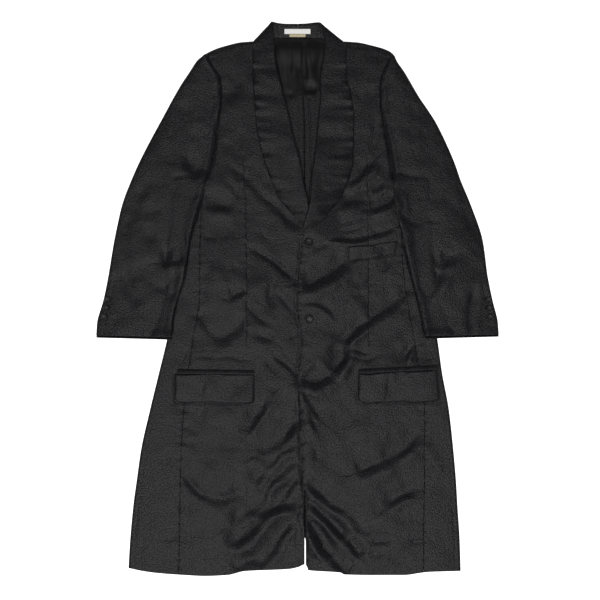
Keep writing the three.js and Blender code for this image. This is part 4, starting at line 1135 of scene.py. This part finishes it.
def patch_points(corners, thickness, step, rounding=0.0, reach=5.0, relief=0.0, sunk=0.0):
    """Middle points of a piece between four corners, laid on what is under it.

    rounding curves its lower corners, relief makes it lie unevenly and rise at its rim, and sunk
    presses its upper edge down.
    """
    top_start, top_end, low_end, low_start = (np.array(c, float) for c in corners)
    width = np.linalg.norm(top_end - top_start)
    depth = np.linalg.norm(low_start - top_start)
    u = (places([width], max(2, int(width / step)))[0] / width)[None, :]
    v = (places([depth], max(2, int(depth / step)))[0] / depth)[:, None]
    x = mix(mix(top_start[0], top_end[0], u), mix(low_start[0], low_end[0], u), v)
    y = mix(mix(top_start[1], top_end[1], u), mix(low_start[1], low_end[1], u), v)
    near_end = np.minimum(u, 1 - u) * width
    y = y + rounding * v ** 4 * bell(near_end, 1.1 * rounding + 1e-6) * (rounding > 0)
    if relief > 0:
        y = y + 1.5 * MEDIUM(x, 7.0) + 1.0 * BROAD(x, 50.0)
    ground = LAID.over(flat=reach, slope=0.3)(x, y)
    z = ground + LAY_CLEAR + thickness / 2 - sunk * smooth(v * depth, 3.5, 0.0)
    edge = np.minimum(np.minimum(near_end, (1 - v) * depth), v * depth + 3.0)
    z = z + (relief > 0) * creases(POCKET_CREASES, x, y)
    z = z + relief * ((0.8 + broad_relief(x, y)) * smooth(edge, 0, 6) + 1.4 * smooth(edge, -0.5, 4.0))
    return np.stack([x, y, z], axis=-1)


# Materials

def colour(code):
    """A colour written as an sRGB hex code, as the linear values that a shader takes."""
    parts = [int(code[i:i + 2], 16) / 255 for i in (1, 3, 5)]
    linear = [c / 12.92 if c <= 0.04045 else ((c + 0.055) / 1.055) ** 2.4 for c in parts]
    return (*linear, 1.0)


def node(tree, kind, links=None, **values):
    """A new node: values go to its properties or its inputs, links join its inputs to outputs."""
    new = tree.nodes.new(kind)
    for name, value in values.items():
        if hasattr(new, name):
            setattr(new, name, value)
        else:
            new.inputs[name.replace("_", " ")].default_value = value
    for name, output in (links or {}).items():
        tree.links.new(output, new.inputs[name])
    return new


def new_material(name):
    """An empty node material with its output, and its tree."""
    material = bpy.data.materials.get(name) or bpy.data.materials.new(name)
    material.use_nodes = True
    material.node_tree.nodes.clear()
    return material, material.node_tree


def flat_cut(tree):
    """The flat cut of a cloth piece in metres, as texture coordinates."""
    return node(tree, "ShaderNodeUVMap", uv_map="cut").outputs["UV"]


def colour_ramp(tree, value, start, end):
    """A passage between two colours along a value; each end is its position and its colour."""
    ramp = node(tree, "ShaderNodeValToRGB", {"Fac": value})
    for element, (position, tone) in zip(ramp.color_ramp.elements, (start, end)):
        element.position = position
        element.color = tone
    return ramp


def finish_material(tree, shader):
    """Join a shader to a new output."""
    node(tree, "ShaderNodeOutputMaterial", {"Surface": shader.outputs["BSDF"]})


# Texture scales are features to the metre, so 1000 divided by the feature's size in millimetres
PEBBLES = 310.0          # raised pebbles, 3.2 mm apart
PEBBLE_BEND = 180.0      # what makes their outlines irregular, 5.6 mm
CREPE_GRAIN = 1400.0     # 0.7 mm: the real 0.3 mm is too fine to show, so it is drawn coarser
DYE_WASH = 14.0          # slow change of shade, 70 mm
SATIN_THREADS = (2600.0, 160.0, 1.0)  # floats 0.4 by 6 mm, coarser than the real ones so that they show
BUTTON_CLOUDS = 260.0    # 4 mm
HANDLING_MARKS = 2400.0  # 0.4 mm
LABEL_THREADS = 400.0    # 0.4 mm threads, two to a wave, coarser than the real ones so that they show
THREAD_PLY = 2600.0      # 0.4 mm


def crepe_cloth(settings):
    """Wool crepe, woven and then pebbled: dull black, broken up by small glints on each pebble's
    flank, so that a crease shows as a soft light edge beside a dark one. Its colour holds painted
    light and shade: lighter on each pebble's top, darker in the hollows between the pebbles."""
    material, tree = new_material("wool_crepe_black")
    cut = flat_cut(tree)
    bent = node(tree, "ShaderNodeTexNoise", {"Vector": cut}, Scale=PEBBLE_BEND, Detail=1.0)
    offset = node(tree, "ShaderNodeVectorMath", {0: bent.outputs["Color"]}, operation="SCALE")
    offset.inputs["Scale"].default_value = 0.0022
    moved = node(tree, "ShaderNodeVectorMath", {0: cut, 1: offset.outputs["Vector"]}, operation="ADD")
    pebble = node(tree, "ShaderNodeTexVoronoi", {"Vector": moved.outputs["Vector"]},
                  Scale=PEBBLES, Randomness=0.8)
    grain = node(tree, "ShaderNodeTexNoise", {"Vector": cut}, Scale=CREPE_GRAIN, Detail=2.0)
    slow = node(tree, "ShaderNodeTexNoise", {"Vector": cut}, Scale=DYE_WASH, Detail=3.0)
    # painted light and shade: the colour is lighter on the pebbles' tops and darker in the hollows between
    # them
    tones = colour_ramp(tree, pebble.outputs["Distance"],
                        (0.12, settings.lit_pebble_top_colour), (0.65, settings.shaded_pebble_hollow_colour))
    wash = node(tree, "ShaderNodeMapRange", {"Value": slow.outputs["Fac"]}, To_Min=0.85, To_Max=1.15)
    shade = node(tree, "ShaderNodeVectorMath", {0: tones.outputs["Color"], "Scale": wash.outputs["Result"]},
                 operation="SCALE")
    rough = node(tree, "ShaderNodeMapRange", {"Value": pebble.outputs["Distance"]}, To_Min=0.3, To_Max=0.46)
    fine_bump = node(tree, "ShaderNodeBump", {"Height": grain.outputs["Fac"]}, Strength=0.5, Distance=0.0001)
    hollow = node(tree, "ShaderNodeMath", {0: pebble.outputs["Distance"]}, operation="MULTIPLY")
    hollow.inputs[1].default_value = -1.0
    bump = node(tree, "ShaderNodeBump",
                {"Height": hollow.outputs["Value"], "Normal": fine_bump.outputs["Normal"]},
                Strength=1.0, Distance=0.0006)
    shader = node(tree, "ShaderNodeBsdfPrincipled", {
        "Base Color": shade.outputs["Vector"],
        "Roughness": rough.outputs["Result"],
        "Normal": bump.outputs["Normal"],
    }, Sheen_Weight=0.09, Sheen_Roughness=0.45, IOR=1.46)
    shader.inputs["Specular IOR Level"].default_value = 0.2
    shader.inputs["Sheen Tint"].default_value = colour("#a0a0a8")
    finish_material(tree, shader)
    return material


def satin_lining(settings):
    """Viscose satin, woven with long floats: smoother than the cloth, with a soft gloss that is drawn
    out along the threads."""
    material, tree = new_material("satin_lining_black")
    cut = flat_cut(tree)
    stretched = node(tree, "ShaderNodeMapping", {"Vector": cut}, Scale=SATIN_THREADS)
    thread = node(tree, "ShaderNodeTexNoise", {"Vector": stretched.outputs["Vector"]}, Scale=1.0, Detail=1.0)
    bump = node(tree, "ShaderNodeBump", {"Height": thread.outputs["Fac"]}, Strength=0.3, Distance=0.00005)
    rough = node(tree, "ShaderNodeMapRange", {"Value": thread.outputs["Fac"]}, To_Min=0.38, To_Max=0.48)
    shader = node(tree, "ShaderNodeBsdfPrincipled", {
        "Roughness": rough.outputs["Result"], "Normal": bump.outputs["Normal"],
    }, Anisotropic=0.4, IOR=1.5)
    shader.inputs["Base Color"].default_value = settings.lining_colour
    shader.inputs["Specular IOR Level"].default_value = 0.14
    finish_material(tree, shader)
    return material


def button_plastic(settings):
    """Polyester, turned and tumbled: a small sharp glint on a black that is faintly cloudy inside."""
    material, tree = new_material("polyester_button_black")
    place = node(tree, "ShaderNodeTexCoord").outputs["Object"]
    cloud = node(tree, "ShaderNodeTexNoise", {"Vector": place}, Scale=BUTTON_CLOUDS, Detail=3.0)
    tones = colour_ramp(tree, cloud.outputs["Fac"], (0.0, colour("#0a0a0b")), (1.0, settings.button_colour))
    rough = node(tree, "ShaderNodeMapRange", {"Value": cloud.outputs["Fac"]}, To_Min=0.24, To_Max=0.34)
    marks = node(tree, "ShaderNodeTexNoise", {"Vector": place}, Scale=HANDLING_MARKS, Detail=1.0)
    bump = node(tree, "ShaderNodeBump", {"Height": marks.outputs["Fac"]}, Strength=0.1, Distance=0.00003)
    shader = node(tree, "ShaderNodeBsdfPrincipled", {
        "Base Color": tones.outputs["Color"],
        "Roughness": rough.outputs["Result"],
        "Normal": bump.outputs["Normal"],
    }, IOR=1.53)
    shader.inputs["Specular IOR Level"].default_value = 0.25
    finish_material(tree, shader)
    return material


def woven_label(name, light, dark):
    """Polyester taffeta, woven in two near tones: matt, with a fine even check of threads both ways."""
    material, tree = new_material(name)
    cut = flat_cut(tree)
    weft = node(tree, "ShaderNodeTexWave", {"Vector": cut}, Scale=LABEL_THREADS, Distortion=0.6)
    warp = node(tree, "ShaderNodeTexWave", {"Vector": cut}, bands_direction="Y", Scale=LABEL_THREADS,
                Distortion=0.6)
    both = node(tree, "ShaderNodeMath", {0: weft.outputs["Fac"], 1: warp.outputs["Fac"]},
                operation="MULTIPLY")
    tones = node(tree, "ShaderNodeMix", {"Factor": both.outputs["Value"]}, data_type="RGBA")
    tones.inputs[6].default_value = dark
    tones.inputs[7].default_value = light
    bump = node(tree, "ShaderNodeBump", {"Height": both.outputs["Value"]}, Strength=0.4, Distance=0.0001)
    shader = node(tree, "ShaderNodeBsdfPrincipled", {
        "Base Color": tones.outputs[2], "Normal": bump.outputs["Normal"],
    }, Roughness=0.7)
    finish_material(tree, shader)
    return material


def thread_material(settings):
    """Polyester, spun and plied: a shade lighter than the cloth, so that the stitches show on it."""
    material, tree = new_material("polyester_thread_black")
    place = node(tree, "ShaderNodeTexCoord").outputs["Object"]
    ply = node(tree, "ShaderNodeTexNoise", {"Vector": place}, Scale=THREAD_PLY, Detail=1.0)
    tones = colour_ramp(tree, ply.outputs["Fac"], (0.0, colour("#161618")), (1.0, settings.thread_colour))
    shader = node(tree, "ShaderNodeBsdfPrincipled", {"Base Color": tones.outputs["Color"]}, Roughness=0.45)
    finish_material(tree, shader)
    return material


# Buttons and stitches

# A button's section from its middle over the rim to its foot, in shares of its radius and height
BUTTON_PROFILE = table("r z", [
    (0.0, 0.60), (0.3, 0.60), (0.5, 0.63), (0.64, 0.76), (0.74, 0.93), (0.82, 1.0), (0.9, 0.95), (0.96, 0.78),
    (0.99, 0.58), (1.0, 0.45), (0.97, 0.26), (0.9, 0.12), (0.8, 0.0),
])
HOLE_RADIUS = 0.95       # of a button of the full diameter
HOLE_OFFSET = 1.55       # of a hole from the middle, along X and along Y
FULL_DIAMETER = 18.0
HOLE_DEPTH = 1.6


def button_form(centre, diameter, height, tilt, tilt_way, turn):
    """Vertices and quads of a sewn-through button: dished face, raised rim and four holes."""
    around = 64
    profile_r = curve(numbered(BUTTON_PROFILE), "place", "r")
    profile_z = curve(numbered(BUTTON_PROFILE), "place", "z")
    place = np.concatenate([np.linspace(0.02, 1.0, 22), np.linspace(1.1, 12.0, 34)])
    r = profile_r(place) * diameter / 2
    z = profile_z(place) * height
    angle = np.arange(around) / around * 2 * math.pi + turn
    x = r[:, None] * np.cos(angle)
    y = r[:, None] * np.sin(angle)
    z = np.repeat(z[:, None], around, axis=1)
    on_face = place[:, None] < 4
    scale = diameter / FULL_DIAMETER
    for k in range(4):
        hole_angle = turn + math.pi / 4 + k * math.pi / 2
        hx = HOLE_OFFSET * scale * math.sqrt(2) * math.cos(hole_angle)
        hy = HOLE_OFFSET * scale * math.sqrt(2) * math.sin(hole_angle)
        from_hole = np.hypot(x - hx, y - hy) / (HOLE_RADIUS * scale)
        z = z - on_face * HOLE_DEPTH * scale * smooth(from_hole, 1.15, 0.7)
    points = np.stack([x, y, z], axis=-1)
    top = np.array([[0.0, 0.0, profile_z(0.0) * height]])
    base = np.array([[0.0, 0.0, 0.0]])
    vertices = np.concatenate([points.reshape(-1, 3), top, base])
    rings = len(place)
    number = np.arange(rings * around).reshape(rings, around)
    after = np.roll(number, -1, axis=1)
    quads = quad_list(number[:-1], number[1:], after[1:], after[:-1])
    ring = number[:, ::2]
    between = number[:, 1::2]
    next_ring = np.roll(ring, -1, axis=1)
    top_number = np.full(around // 2, rings * around)
    caps = [quad_list(top_number, ring[0], between[0], next_ring[0]),
            quad_list(top_number + 1, next_ring[-1], between[-1], ring[-1])]
    quads = np.concatenate([quads] + caps)
    vertices = tilted(vertices, tilt, tilt_way) + np.array(centre)
    return vertices, outwards(vertices, quads)


def tilted(vertices, tilt, way):
    """Points leant over by tilt degrees so that the side in the direction way degrees goes down."""
    a = math.radians(way)
    t = math.radians(tilt)
    towards = np.array([math.cos(a), math.sin(a), 0.0])
    share = vertices @ towards
    beside = vertices - share[:, None] * towards
    up = beside[:, 2:].copy()
    beside[:, 2:] = 0
    leant = towards * math.cos(t) + np.array([0, 0, -math.sin(t)])
    rise = towards * math.sin(t) + np.array([0, 0, math.cos(t)])
    return beside + share[:, None] * leant + up * rise


def stitch_nodes():
    """A node tree that lays short stitches along a line, each across or along it, with a fixed seed."""
    name = "stitch_line"
    if name in bpy.data.node_groups:
        return bpy.data.node_groups[name]
    tree = bpy.data.node_groups.new(name, "GeometryNodeTree")
    face = tree.interface
    face.new_socket("Geometry", in_out="INPUT", socket_type="NodeSocketGeometry")
    for label, value in (("Spacing", 0.001), ("Length", 0.002), ("Thickness", 0.0003), ("Slant", 0.0)):
        socket = face.new_socket(label, in_out="INPUT", socket_type="NodeSocketFloat")
        socket.default_value = value
    seed = face.new_socket("Seed", in_out="INPUT", socket_type="NodeSocketInt")
    seed.default_value = 1
    face.new_socket("Material", in_out="INPUT", socket_type="NodeSocketMaterial")
    face.new_socket("Geometry", in_out="OUTPUT", socket_type="NodeSocketGeometry")
    given = node(tree, "NodeGroupInput").outputs
    line = node(tree, "GeometryNodeMeshToCurve", {"Mesh": given["Geometry"]})
    points = node(tree, "GeometryNodeResampleCurve",
                  {"Curve": line.outputs["Curve"], "Length": given["Spacing"]}, mode="LENGTH")
    tangent = node(tree, "GeometryNodeInputTangent")
    turn = node(tree, "FunctionNodeAlignRotationToVector", {"Vector": tangent.outputs["Tangent"]}, axis="X")
    angle = node(tree, "ShaderNodeCombineXYZ", {"Z": given["Slant"]})
    slanted = node(tree, "FunctionNodeRotateRotation",
                   {"Rotation": turn.outputs["Rotation"], "Rotate By": angle.outputs["Vector"]},
                   rotation_space="LOCAL")
    bead = node(tree, "GeometryNodeMeshUVSphere", Segments=8, Rings=6, Radius=0.5)
    size = node(tree, "ShaderNodeCombineXYZ",
                {"X": given["Length"], "Y": given["Thickness"], "Z": given["Thickness"]})
    vary = node(tree, "FunctionNodeRandomValue", {"Seed": given["Seed"]}, data_type="FLOAT")
    vary.inputs[2].default_value = 0.82
    vary.inputs[3].default_value = 1.12
    scale = node(tree, "ShaderNodeVectorMath", {0: size.outputs["Vector"], "Scale": vary.outputs[1]},
                 operation="SCALE")
    placed = node(tree, "GeometryNodeInstanceOnPoints", {
        "Points": points.outputs["Curve"], "Instance": bead.outputs["Mesh"],
        "Rotation": slanted.outputs["Rotation"], "Scale": scale.outputs["Vector"],
    })
    real = node(tree, "GeometryNodeRealizeInstances", {"Geometry": placed.outputs["Instances"]})
    painted = node(tree, "GeometryNodeSetMaterial",
                   {"Geometry": real.outputs["Geometry"], "Material": given["Material"]})
    node(tree, "NodeGroupOutput", {"Geometry": painted.outputs["Geometry"]})
    return tree


def stitched(name, lines, material, spacing, length, thickness, slant, seed):
    """Stitches along one or more lines of points, as one plain mesh: sizes in mm, slant in degrees."""
    vertices = np.concatenate([np.asarray(line, float) for line in lines]) * MM
    edges = []
    first = 0
    for line in lines:
        edges += [(first + k, first + k + 1) for k in range(len(line) - 1)]
        first += len(line)
    guide = bpy.data.meshes.new(name + "_line")
    guide.from_pydata(vertices.tolist(), edges, [])
    obj = bpy.data.objects.new(name, guide)
    bpy.context.scene.collection.objects.link(obj)
    modifier = obj.modifiers.new("stitches", "NODES")
    modifier.node_group = stitch_nodes()
    given = {"Spacing": spacing * MM, "Length": length * MM, "Thickness": thickness * MM,
             "Slant": math.radians(slant), "Seed": seed, "Material": material}
    for item in modifier.node_group.interface.items_tree:
        if item.item_type == "SOCKET" and item.in_out == "INPUT" and item.name in given:
            modifier[item.identifier] = given[item.name]
    bpy.context.view_layer.update()
    ready = obj.evaluated_get(bpy.context.evaluated_depsgraph_get())
    mesh = bpy.data.meshes.new_from_object(ready)
    obj.modifiers.clear()
    obj.data = mesh
    mesh.name = name
    bpy.data.meshes.remove(guide)
    if not mesh.polygons:
        raise RuntimeError(f"{name}: no stitches were made")
    mesh.polygons.foreach_set("use_smooth", [True] * len(mesh.polygons))
    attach(obj, BODY)
    return obj


THREAD_RAISE = 0.25      # how far the middle of a sewn line lies above the cloth


def laid_line(points, count):
    """A line of count points over the finished surface through the given points."""
    p = np.asarray(points, float)
    travelled = np.concatenate([[0], np.cumsum(np.hypot(*np.diff(p, axis=0).T))])
    wanted = np.linspace(0, travelled[-1], count)
    x = np.interp(wanted, travelled, p[:, 0])
    y = np.interp(wanted, travelled, p[:, 1])
    z = LAID.over(flat=1.0, slope=0.8, passes=1)(x, y) + THREAD_RAISE
    return np.stack([x, y, z], axis=-1)


# Settings, operators and panel

def length_setting(name, text, value, low, high):
    """A length in millimetres as a Blender property in metres."""
    return bpy.props.FloatProperty(name=name, description=text, default=value * MM, min=low * MM,
                                   max=high * MM, unit="LENGTH", subtype="DISTANCE", precision=4)


def colour_setting(name, text, code):
    """A colour as a Blender property, from its sRGB hex code."""
    return bpy.props.FloatVectorProperty(name=name, description=text, default=colour(code), size=4,
                                         min=0.0, max=1.0, subtype="COLOR")


class JacketClothSettings(bpy.types.PropertyGroup):
    """How the cloth and what is sewn on it are made."""

    step: length_setting("Mesh step", "Spacing of the points of the large panels", 3.2, 2.0, 8.0)
    back_step: length_setting(
        "Hidden mesh step", "Spacing of the points where nothing is seen", 6.0, 3.0, 12.0)
    crease_strength: bpy.props.FloatProperty(
        name="Crease strength", description="Scale of the height of all creases",
        default=1.55, min=0.0, max=2.5, subtype="FACTOR")
    # painted light and shade: the pebbles' tops are coloured lighter and the hollows between them darker
    lit_pebble_top_colour: colour_setting("Pebbles", "Tops of the cloth's pebbles", "#1f1f23")
    shaded_pebble_hollow_colour: colour_setting("Ground", "Cloth between the pebbles", "#020203")
    lining_colour: colour_setting("Lining", "Satin of the lining", "#0f0f11")
    button_colour: colour_setting("Buttons", "Lighter clouds in the buttons", "#17171a")
    thread_colour: colour_setting("Thread", "Lighter side of the sewing thread", "#38383d")
    label_colour: colour_setting("Neck label", "Raised threads of the neck label", "#ffffff")
    tab_colour: colour_setting("Size tab", "Raised threads of the size tab", "#d9cfae")


class JacketStageSettings(bpy.types.PropertyGroup):
    """How the jacket is shown."""

    key_power: bpy.props.FloatProperty(
        name="Key light", description="Power of the large light on the hem side", default=56.0, unit="POWER")
    fill_power: bpy.props.FloatProperty(
        name="Fill light", description="Power of the soft light overhead", default=22.0, unit="POWER")
    camera_height: bpy.props.FloatProperty(
        name="Camera height", description="Height of the camera over the floor", default=6.0, unit="LENGTH")
    frame_width: bpy.props.FloatProperty(
        name="Frame width", description="Width of the floor that the camera sees", default=1.2, unit="LENGTH")


def cloth_settings(context):
    """The scene's cloth settings."""
    return context.scene.jacket_cloth


class JACKET_OT_backs(bpy.types.Operator):
    """Lay the two back panels on the floor"""
    bl_idname = "jacket.backs"
    bl_label = "Back panels"

    def execute(self, context):
        settings = cloth_settings(context)
        cloth = crepe_cloth(settings)
        for name, side in SIDES.items():
            points = back_points(side, settings.back_step / MM)
            cloth_piece("back_" + name, points, cloth, times=COARSE_READS)
        return {"FINISHED"}


class JACKET_OT_lining(bpy.types.Operator):
    """Lay the lining of the upper back, which shows in the neck"""
    bl_idname = "jacket.lining"
    bl_label = "Back lining"

    def execute(self, context):
        satin = satin_lining(cloth_settings(context))
        cloth_piece("lining_yoke", lining_points(), satin,
                    thickness=LINING)
        return {"FINISHED"}


class JACKET_OT_fronts(bpy.types.Operator):
    """Lay the right front with its half of the collar, then the left ones over them"""
    bl_idname = "jacket.fronts"
    bl_label = "Fronts and collar"

    def execute(self, context):
        settings = cloth_settings(context)
        step = settings.step / MM
        cloth = crepe_cloth(settings)

        def right_z(x, y):
            """Height of the middle of the right front."""
            return front_z(x, y, settings.crease_strength)

        cloth_piece("front_right", front_points(RIGHT, right_z, step), cloth)
        cloth_piece("collar_right", collar_points(RIGHT, right_z, COLLAR_STEP), cloth)
        ground = LAID.over(flat=13.0, slope=0.16, passes=4)
        close = LAID.over(flat=2.0, slope=0.6)

        def left_z(x, y):
            """The same for the left front, which laps over the right one and its collar's end."""
            own = right_z(x, y)
            room = 2.8 * smooth(y, 96, 124) * smooth(y, 330, 270)
            above = np.maximum(own, resting(ground(x, y)) + room)
            lap = 2.9 * smooth(x - RIGHT.edge(y), 70, 2)
            below = np.maximum(own + lap, resting(close(x, y)))
            return np.where(y > 330, own, mix(below, above, smooth(y, 90, BREAK_Y)))

        cloth_piece("front_left", front_points(LEFT, left_z, step), cloth)
        cloth_piece("collar_left", collar_points(LEFT, left_z, COLLAR_STEP), cloth)
        return {"FINISHED"}


class JACKET_OT_sides(bpy.types.Operator):
    """Lay the two side panels, which turn down to the back"""
    bl_idname = "jacket.sides"
    bl_label = "Side panels"

    def execute(self, context):
        settings = cloth_settings(context)
        cloth = crepe_cloth(settings)
        for name, side in SIDES.items():
            points = side_points(side, settings.step / MM)
            cloth_piece("side_panel_" + name, points, cloth)
        return {"FINISHED"}


class JACKET_OT_pockets(bpy.types.Operator):
    """Lay the two hip pocket flaps, the jets above them and the breast welt"""
    bl_idname = "jacket.pockets"
    bl_label = "Pockets"

    def execute(self, context):
        cloth = crepe_cloth(cloth_settings(context))
        for name in SIDES:
            flap = patch_points(FLAPS[name], FLAP_THICKNESS, step=2.0, rounding=5.0, relief=0.8)
            cloth_piece("pocket_flap_" + name, flap, cloth, FLAP_THICKNESS)
            jet = patch_points(JETS[name], LIGHT_CLOTH, step=1.6, sunk=0.4)
            cloth_piece("pocket_jet_" + name, jet, cloth, LIGHT_CLOTH)
        welt = patch_points(WELT, WELT_THICKNESS, step=1.8, relief=0.4)
        cloth_piece("breast_welt", welt, cloth, WELT_THICKNESS)
        return {"FINISHED"}


class JACKET_OT_sleeves(bpy.types.Operator):
    """Lay the under and the upper layer of each sleeve"""
    bl_idname = "jacket.sleeves"
    bl_label = "Sleeves"

    def execute(self, context):
        settings = cloth_settings(context)
        cloth = crepe_cloth(settings)
        for name, side in SIDES.items():
            under = sleeve_under_points(side, settings.back_step / MM)
            cloth_piece("sleeve_under_" + name, under, cloth,
                        times=COARSE_READS)
            upper = sleeve_upper_points(side, settings.step / MM)
            cloth_piece("sleeve_upper_" + name, upper, cloth)
        return {"FINISHED"}


class JACKET_OT_labels(bpy.types.Operator):
    """Lay the blank neck label and the blank size tab"""
    bl_idname = "jacket.labels"
    bl_label = "Label and tab"

    def execute(self, context):
        settings = cloth_settings(context)
        white = woven_label("woven_label_white", settings.label_colour, colour("#f2f1ee"))
        cream = woven_label("woven_tab_cream", settings.tab_colour, colour("#bdb28e"))
        label = patch_points(NECK_LABEL, LIGHT_CLOTH, step=1.5, reach=2.0)
        cloth_piece("neck_label", label, white, LIGHT_CLOTH)
        tab = patch_points(SIZE_TAB, LIGHT_CLOTH, step=1.2, reach=2.0)
        cloth_piece("size_tab", tab, cream, LIGHT_CLOTH)
        return {"FINISHED"}


class JACKET_OT_buttons(bpy.types.Operator):
    """Sew on the two front buttons and the three buttons of each cuff"""
    bl_idname = "jacket.buttons"
    bl_label = "Buttons"

    def execute(self, context):
        plastic = button_plastic(cloth_settings(context))
        for k, (name, (x, y, diameter, height, tilt, way)) in enumerate(BUTTONS.items()):
            base = float(LAID.over(flat=diameter / 2, slope=1.0)(x, y)) + SEAM_GAP
            vertices, quads = button_form((x, y, base), diameter, height, tilt, way, 0.4 + 0.9 * k)
            obj = make_object("plastic_button_" + name, vertices, quads, sharp=50.0)
            obj.data.materials.append(plastic)
            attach(obj, BODY)
            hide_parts("button_" + name)
        return {"FINISHED"}


class JACKET_OT_stitches(bpy.types.Operator):
    """Sew the buttonholes and the tacks of the pockets"""
    bl_idname = "jacket.stitches"
    bl_label = "Stitches"

    def execute(self, context):
        thread = thread_material(cloth_settings(context))
        holes = [laid_line(line, count=30) for line in BUTTONHOLES]
        obj = stitched("thread_buttonholes", holes, thread,
                       spacing=0.8, length=2.4, thickness=0.5, slant=90.0, seed=3)
        ends = [WELT[0], WELT[3]], [WELT[1], WELT[2]]
        tacks = [laid_line(line, count=12) for line in ends]
        obj = stitched("thread_pocket_tacks", tacks, thread,
                       spacing=1.1, length=1.8, thickness=0.35, slant=80.0, seed=5)
        return {"FINISHED"}


FLOOR_HALF = 4.0                         # metres, as the rest of the stage
KEY_PLACE = (-0.25, -1.35, 3.3)
KEY_SIZE = (2.4, 1.2)
OVERHEAD_PLACE = (-0.1, -0.4, 3.2)
OVERHEAD_SIZE = (2.0, 2.0)
CAMERA_OVER = (0.005, -0.0025)


def aimed_light(name, place, size, power):
    """A large soft area light that looks at the middle of the jacket."""
    data = bpy.data.lights.new(name, "AREA")
    data.shape = "RECTANGLE"
    data.size, data.size_y = size
    data.energy = power
    obj = bpy.data.objects.new(name, data)
    obj.location = place
    x, y, z = place
    obj.rotation_euler = (math.atan2(math.hypot(x, y), z), 0, math.atan2(x, -y))
    bpy.context.scene.collection.objects.link(obj)
    return obj


class JACKET_OT_stage(bpy.types.Operator):
    """Put down the pale floor, the soft light and the camera straight above"""
    bl_idname = "jacket.stage"
    bl_label = "Floor, light and camera"

    def execute(self, context):
        settings = context.scene.jacket_stage
        scene = context.scene
        mesh = bpy.data.meshes.new("floor")
        corners = [(FLOOR_HALF * i, FLOOR_HALF * j, 0) for i, j in ((-1, -1), (1, -1), (1, 1), (-1, 1))]
        mesh.from_pydata(corners, [], [(0, 1, 2, 3)])
        floor = bpy.data.objects.new("floor", mesh)
        scene.collection.objects.link(floor)
        paper, tree = new_material("matt_paper_white")
        shader = node(tree, "ShaderNodeBsdfPrincipled", Roughness=0.9)
        shader.inputs["Base Color"].default_value = colour("#f7f7f7")
        shader.inputs["Specular IOR Level"].default_value = 0.1
        shader.inputs["Emission Color"].default_value = colour("#ffffff")
        shader.inputs["Emission Strength"].default_value = 1.0
        finish_material(tree, shader)
        mesh.materials.append(paper)

        world = bpy.data.worlds.new("studio")
        world.use_nodes = True
        world.node_tree.nodes["Background"].inputs["Color"].default_value = (1, 1, 1, 1)
        world.node_tree.nodes["Background"].inputs["Strength"].default_value = 0.3
        scene.world = world
        aimed_light("key", KEY_PLACE, KEY_SIZE, settings.key_power)
        aimed_light("overhead", OVERHEAD_PLACE, OVERHEAD_SIZE, settings.fill_power)

        data = bpy.data.cameras.new("camera")
        data.sensor_width = 36.0
        data.lens = data.sensor_width * settings.camera_height / settings.frame_width
        data.clip_end = 50.0
        camera = bpy.data.objects.new("camera", data)
        camera.location = (*CAMERA_OVER, settings.camera_height)
        scene.collection.objects.link(camera)
        scene.camera = camera
        scene.view_settings.view_transform = "Standard"
        return {"FINISHED"}


class JACKET_PT_panel(bpy.types.Panel):
    """The jacket's settings and its pieces, in the order in which they are laid"""
    bl_label = "Long Jacket"
    bl_space_type = "VIEW_3D"
    bl_region_type = "UI"
    bl_category = "Jacket"

    def draw(self, context):
        layout = self.layout
        for group in (context.scene.jacket_cloth, context.scene.jacket_stage):
            for name in group.__annotations__:
                layout.prop(group, name)
        for operator in OPERATORS:
            layout.operator(operator.bl_idname)


OPERATORS = (JACKET_OT_backs, JACKET_OT_lining, JACKET_OT_fronts, JACKET_OT_sides, JACKET_OT_pockets,
             JACKET_OT_sleeves, JACKET_OT_labels, JACKET_OT_buttons, JACKET_OT_stitches, JACKET_OT_stage)
CLASSES = (JacketClothSettings, JacketStageSettings, *OPERATORS, JACKET_PT_panel)


def register():
    """Make the settings, operators and panel known to Blender."""
    for cls in CLASSES:
        bpy.utils.register_class(cls)
    bpy.types.Scene.jacket_cloth = bpy.props.PointerProperty(type=JacketClothSettings)
    bpy.types.Scene.jacket_stage = bpy.props.PointerProperty(type=JacketStageSettings)


def unregister():
    """Take them out again."""
    del bpy.types.Scene.jacket_stage
    del bpy.types.Scene.jacket_cloth
    for cls in reversed(CLASSES):
        bpy.utils.unregister_class(cls)


def main():
    """Build the whole jacket and its stage."""
    register()
    bpy.ops.jacket.backs()
    bpy.ops.jacket.lining()
    bpy.ops.jacket.fronts()
    bpy.ops.jacket.sides()
    bpy.ops.jacket.pockets()
    bpy.ops.jacket.sleeves()
    bpy.ops.jacket.labels()
    bpy.ops.jacket.buttons()
    bpy.ops.jacket.stitches()
    bpy.ops.jacket.stage()


if __name__ == "__main__":
    main()
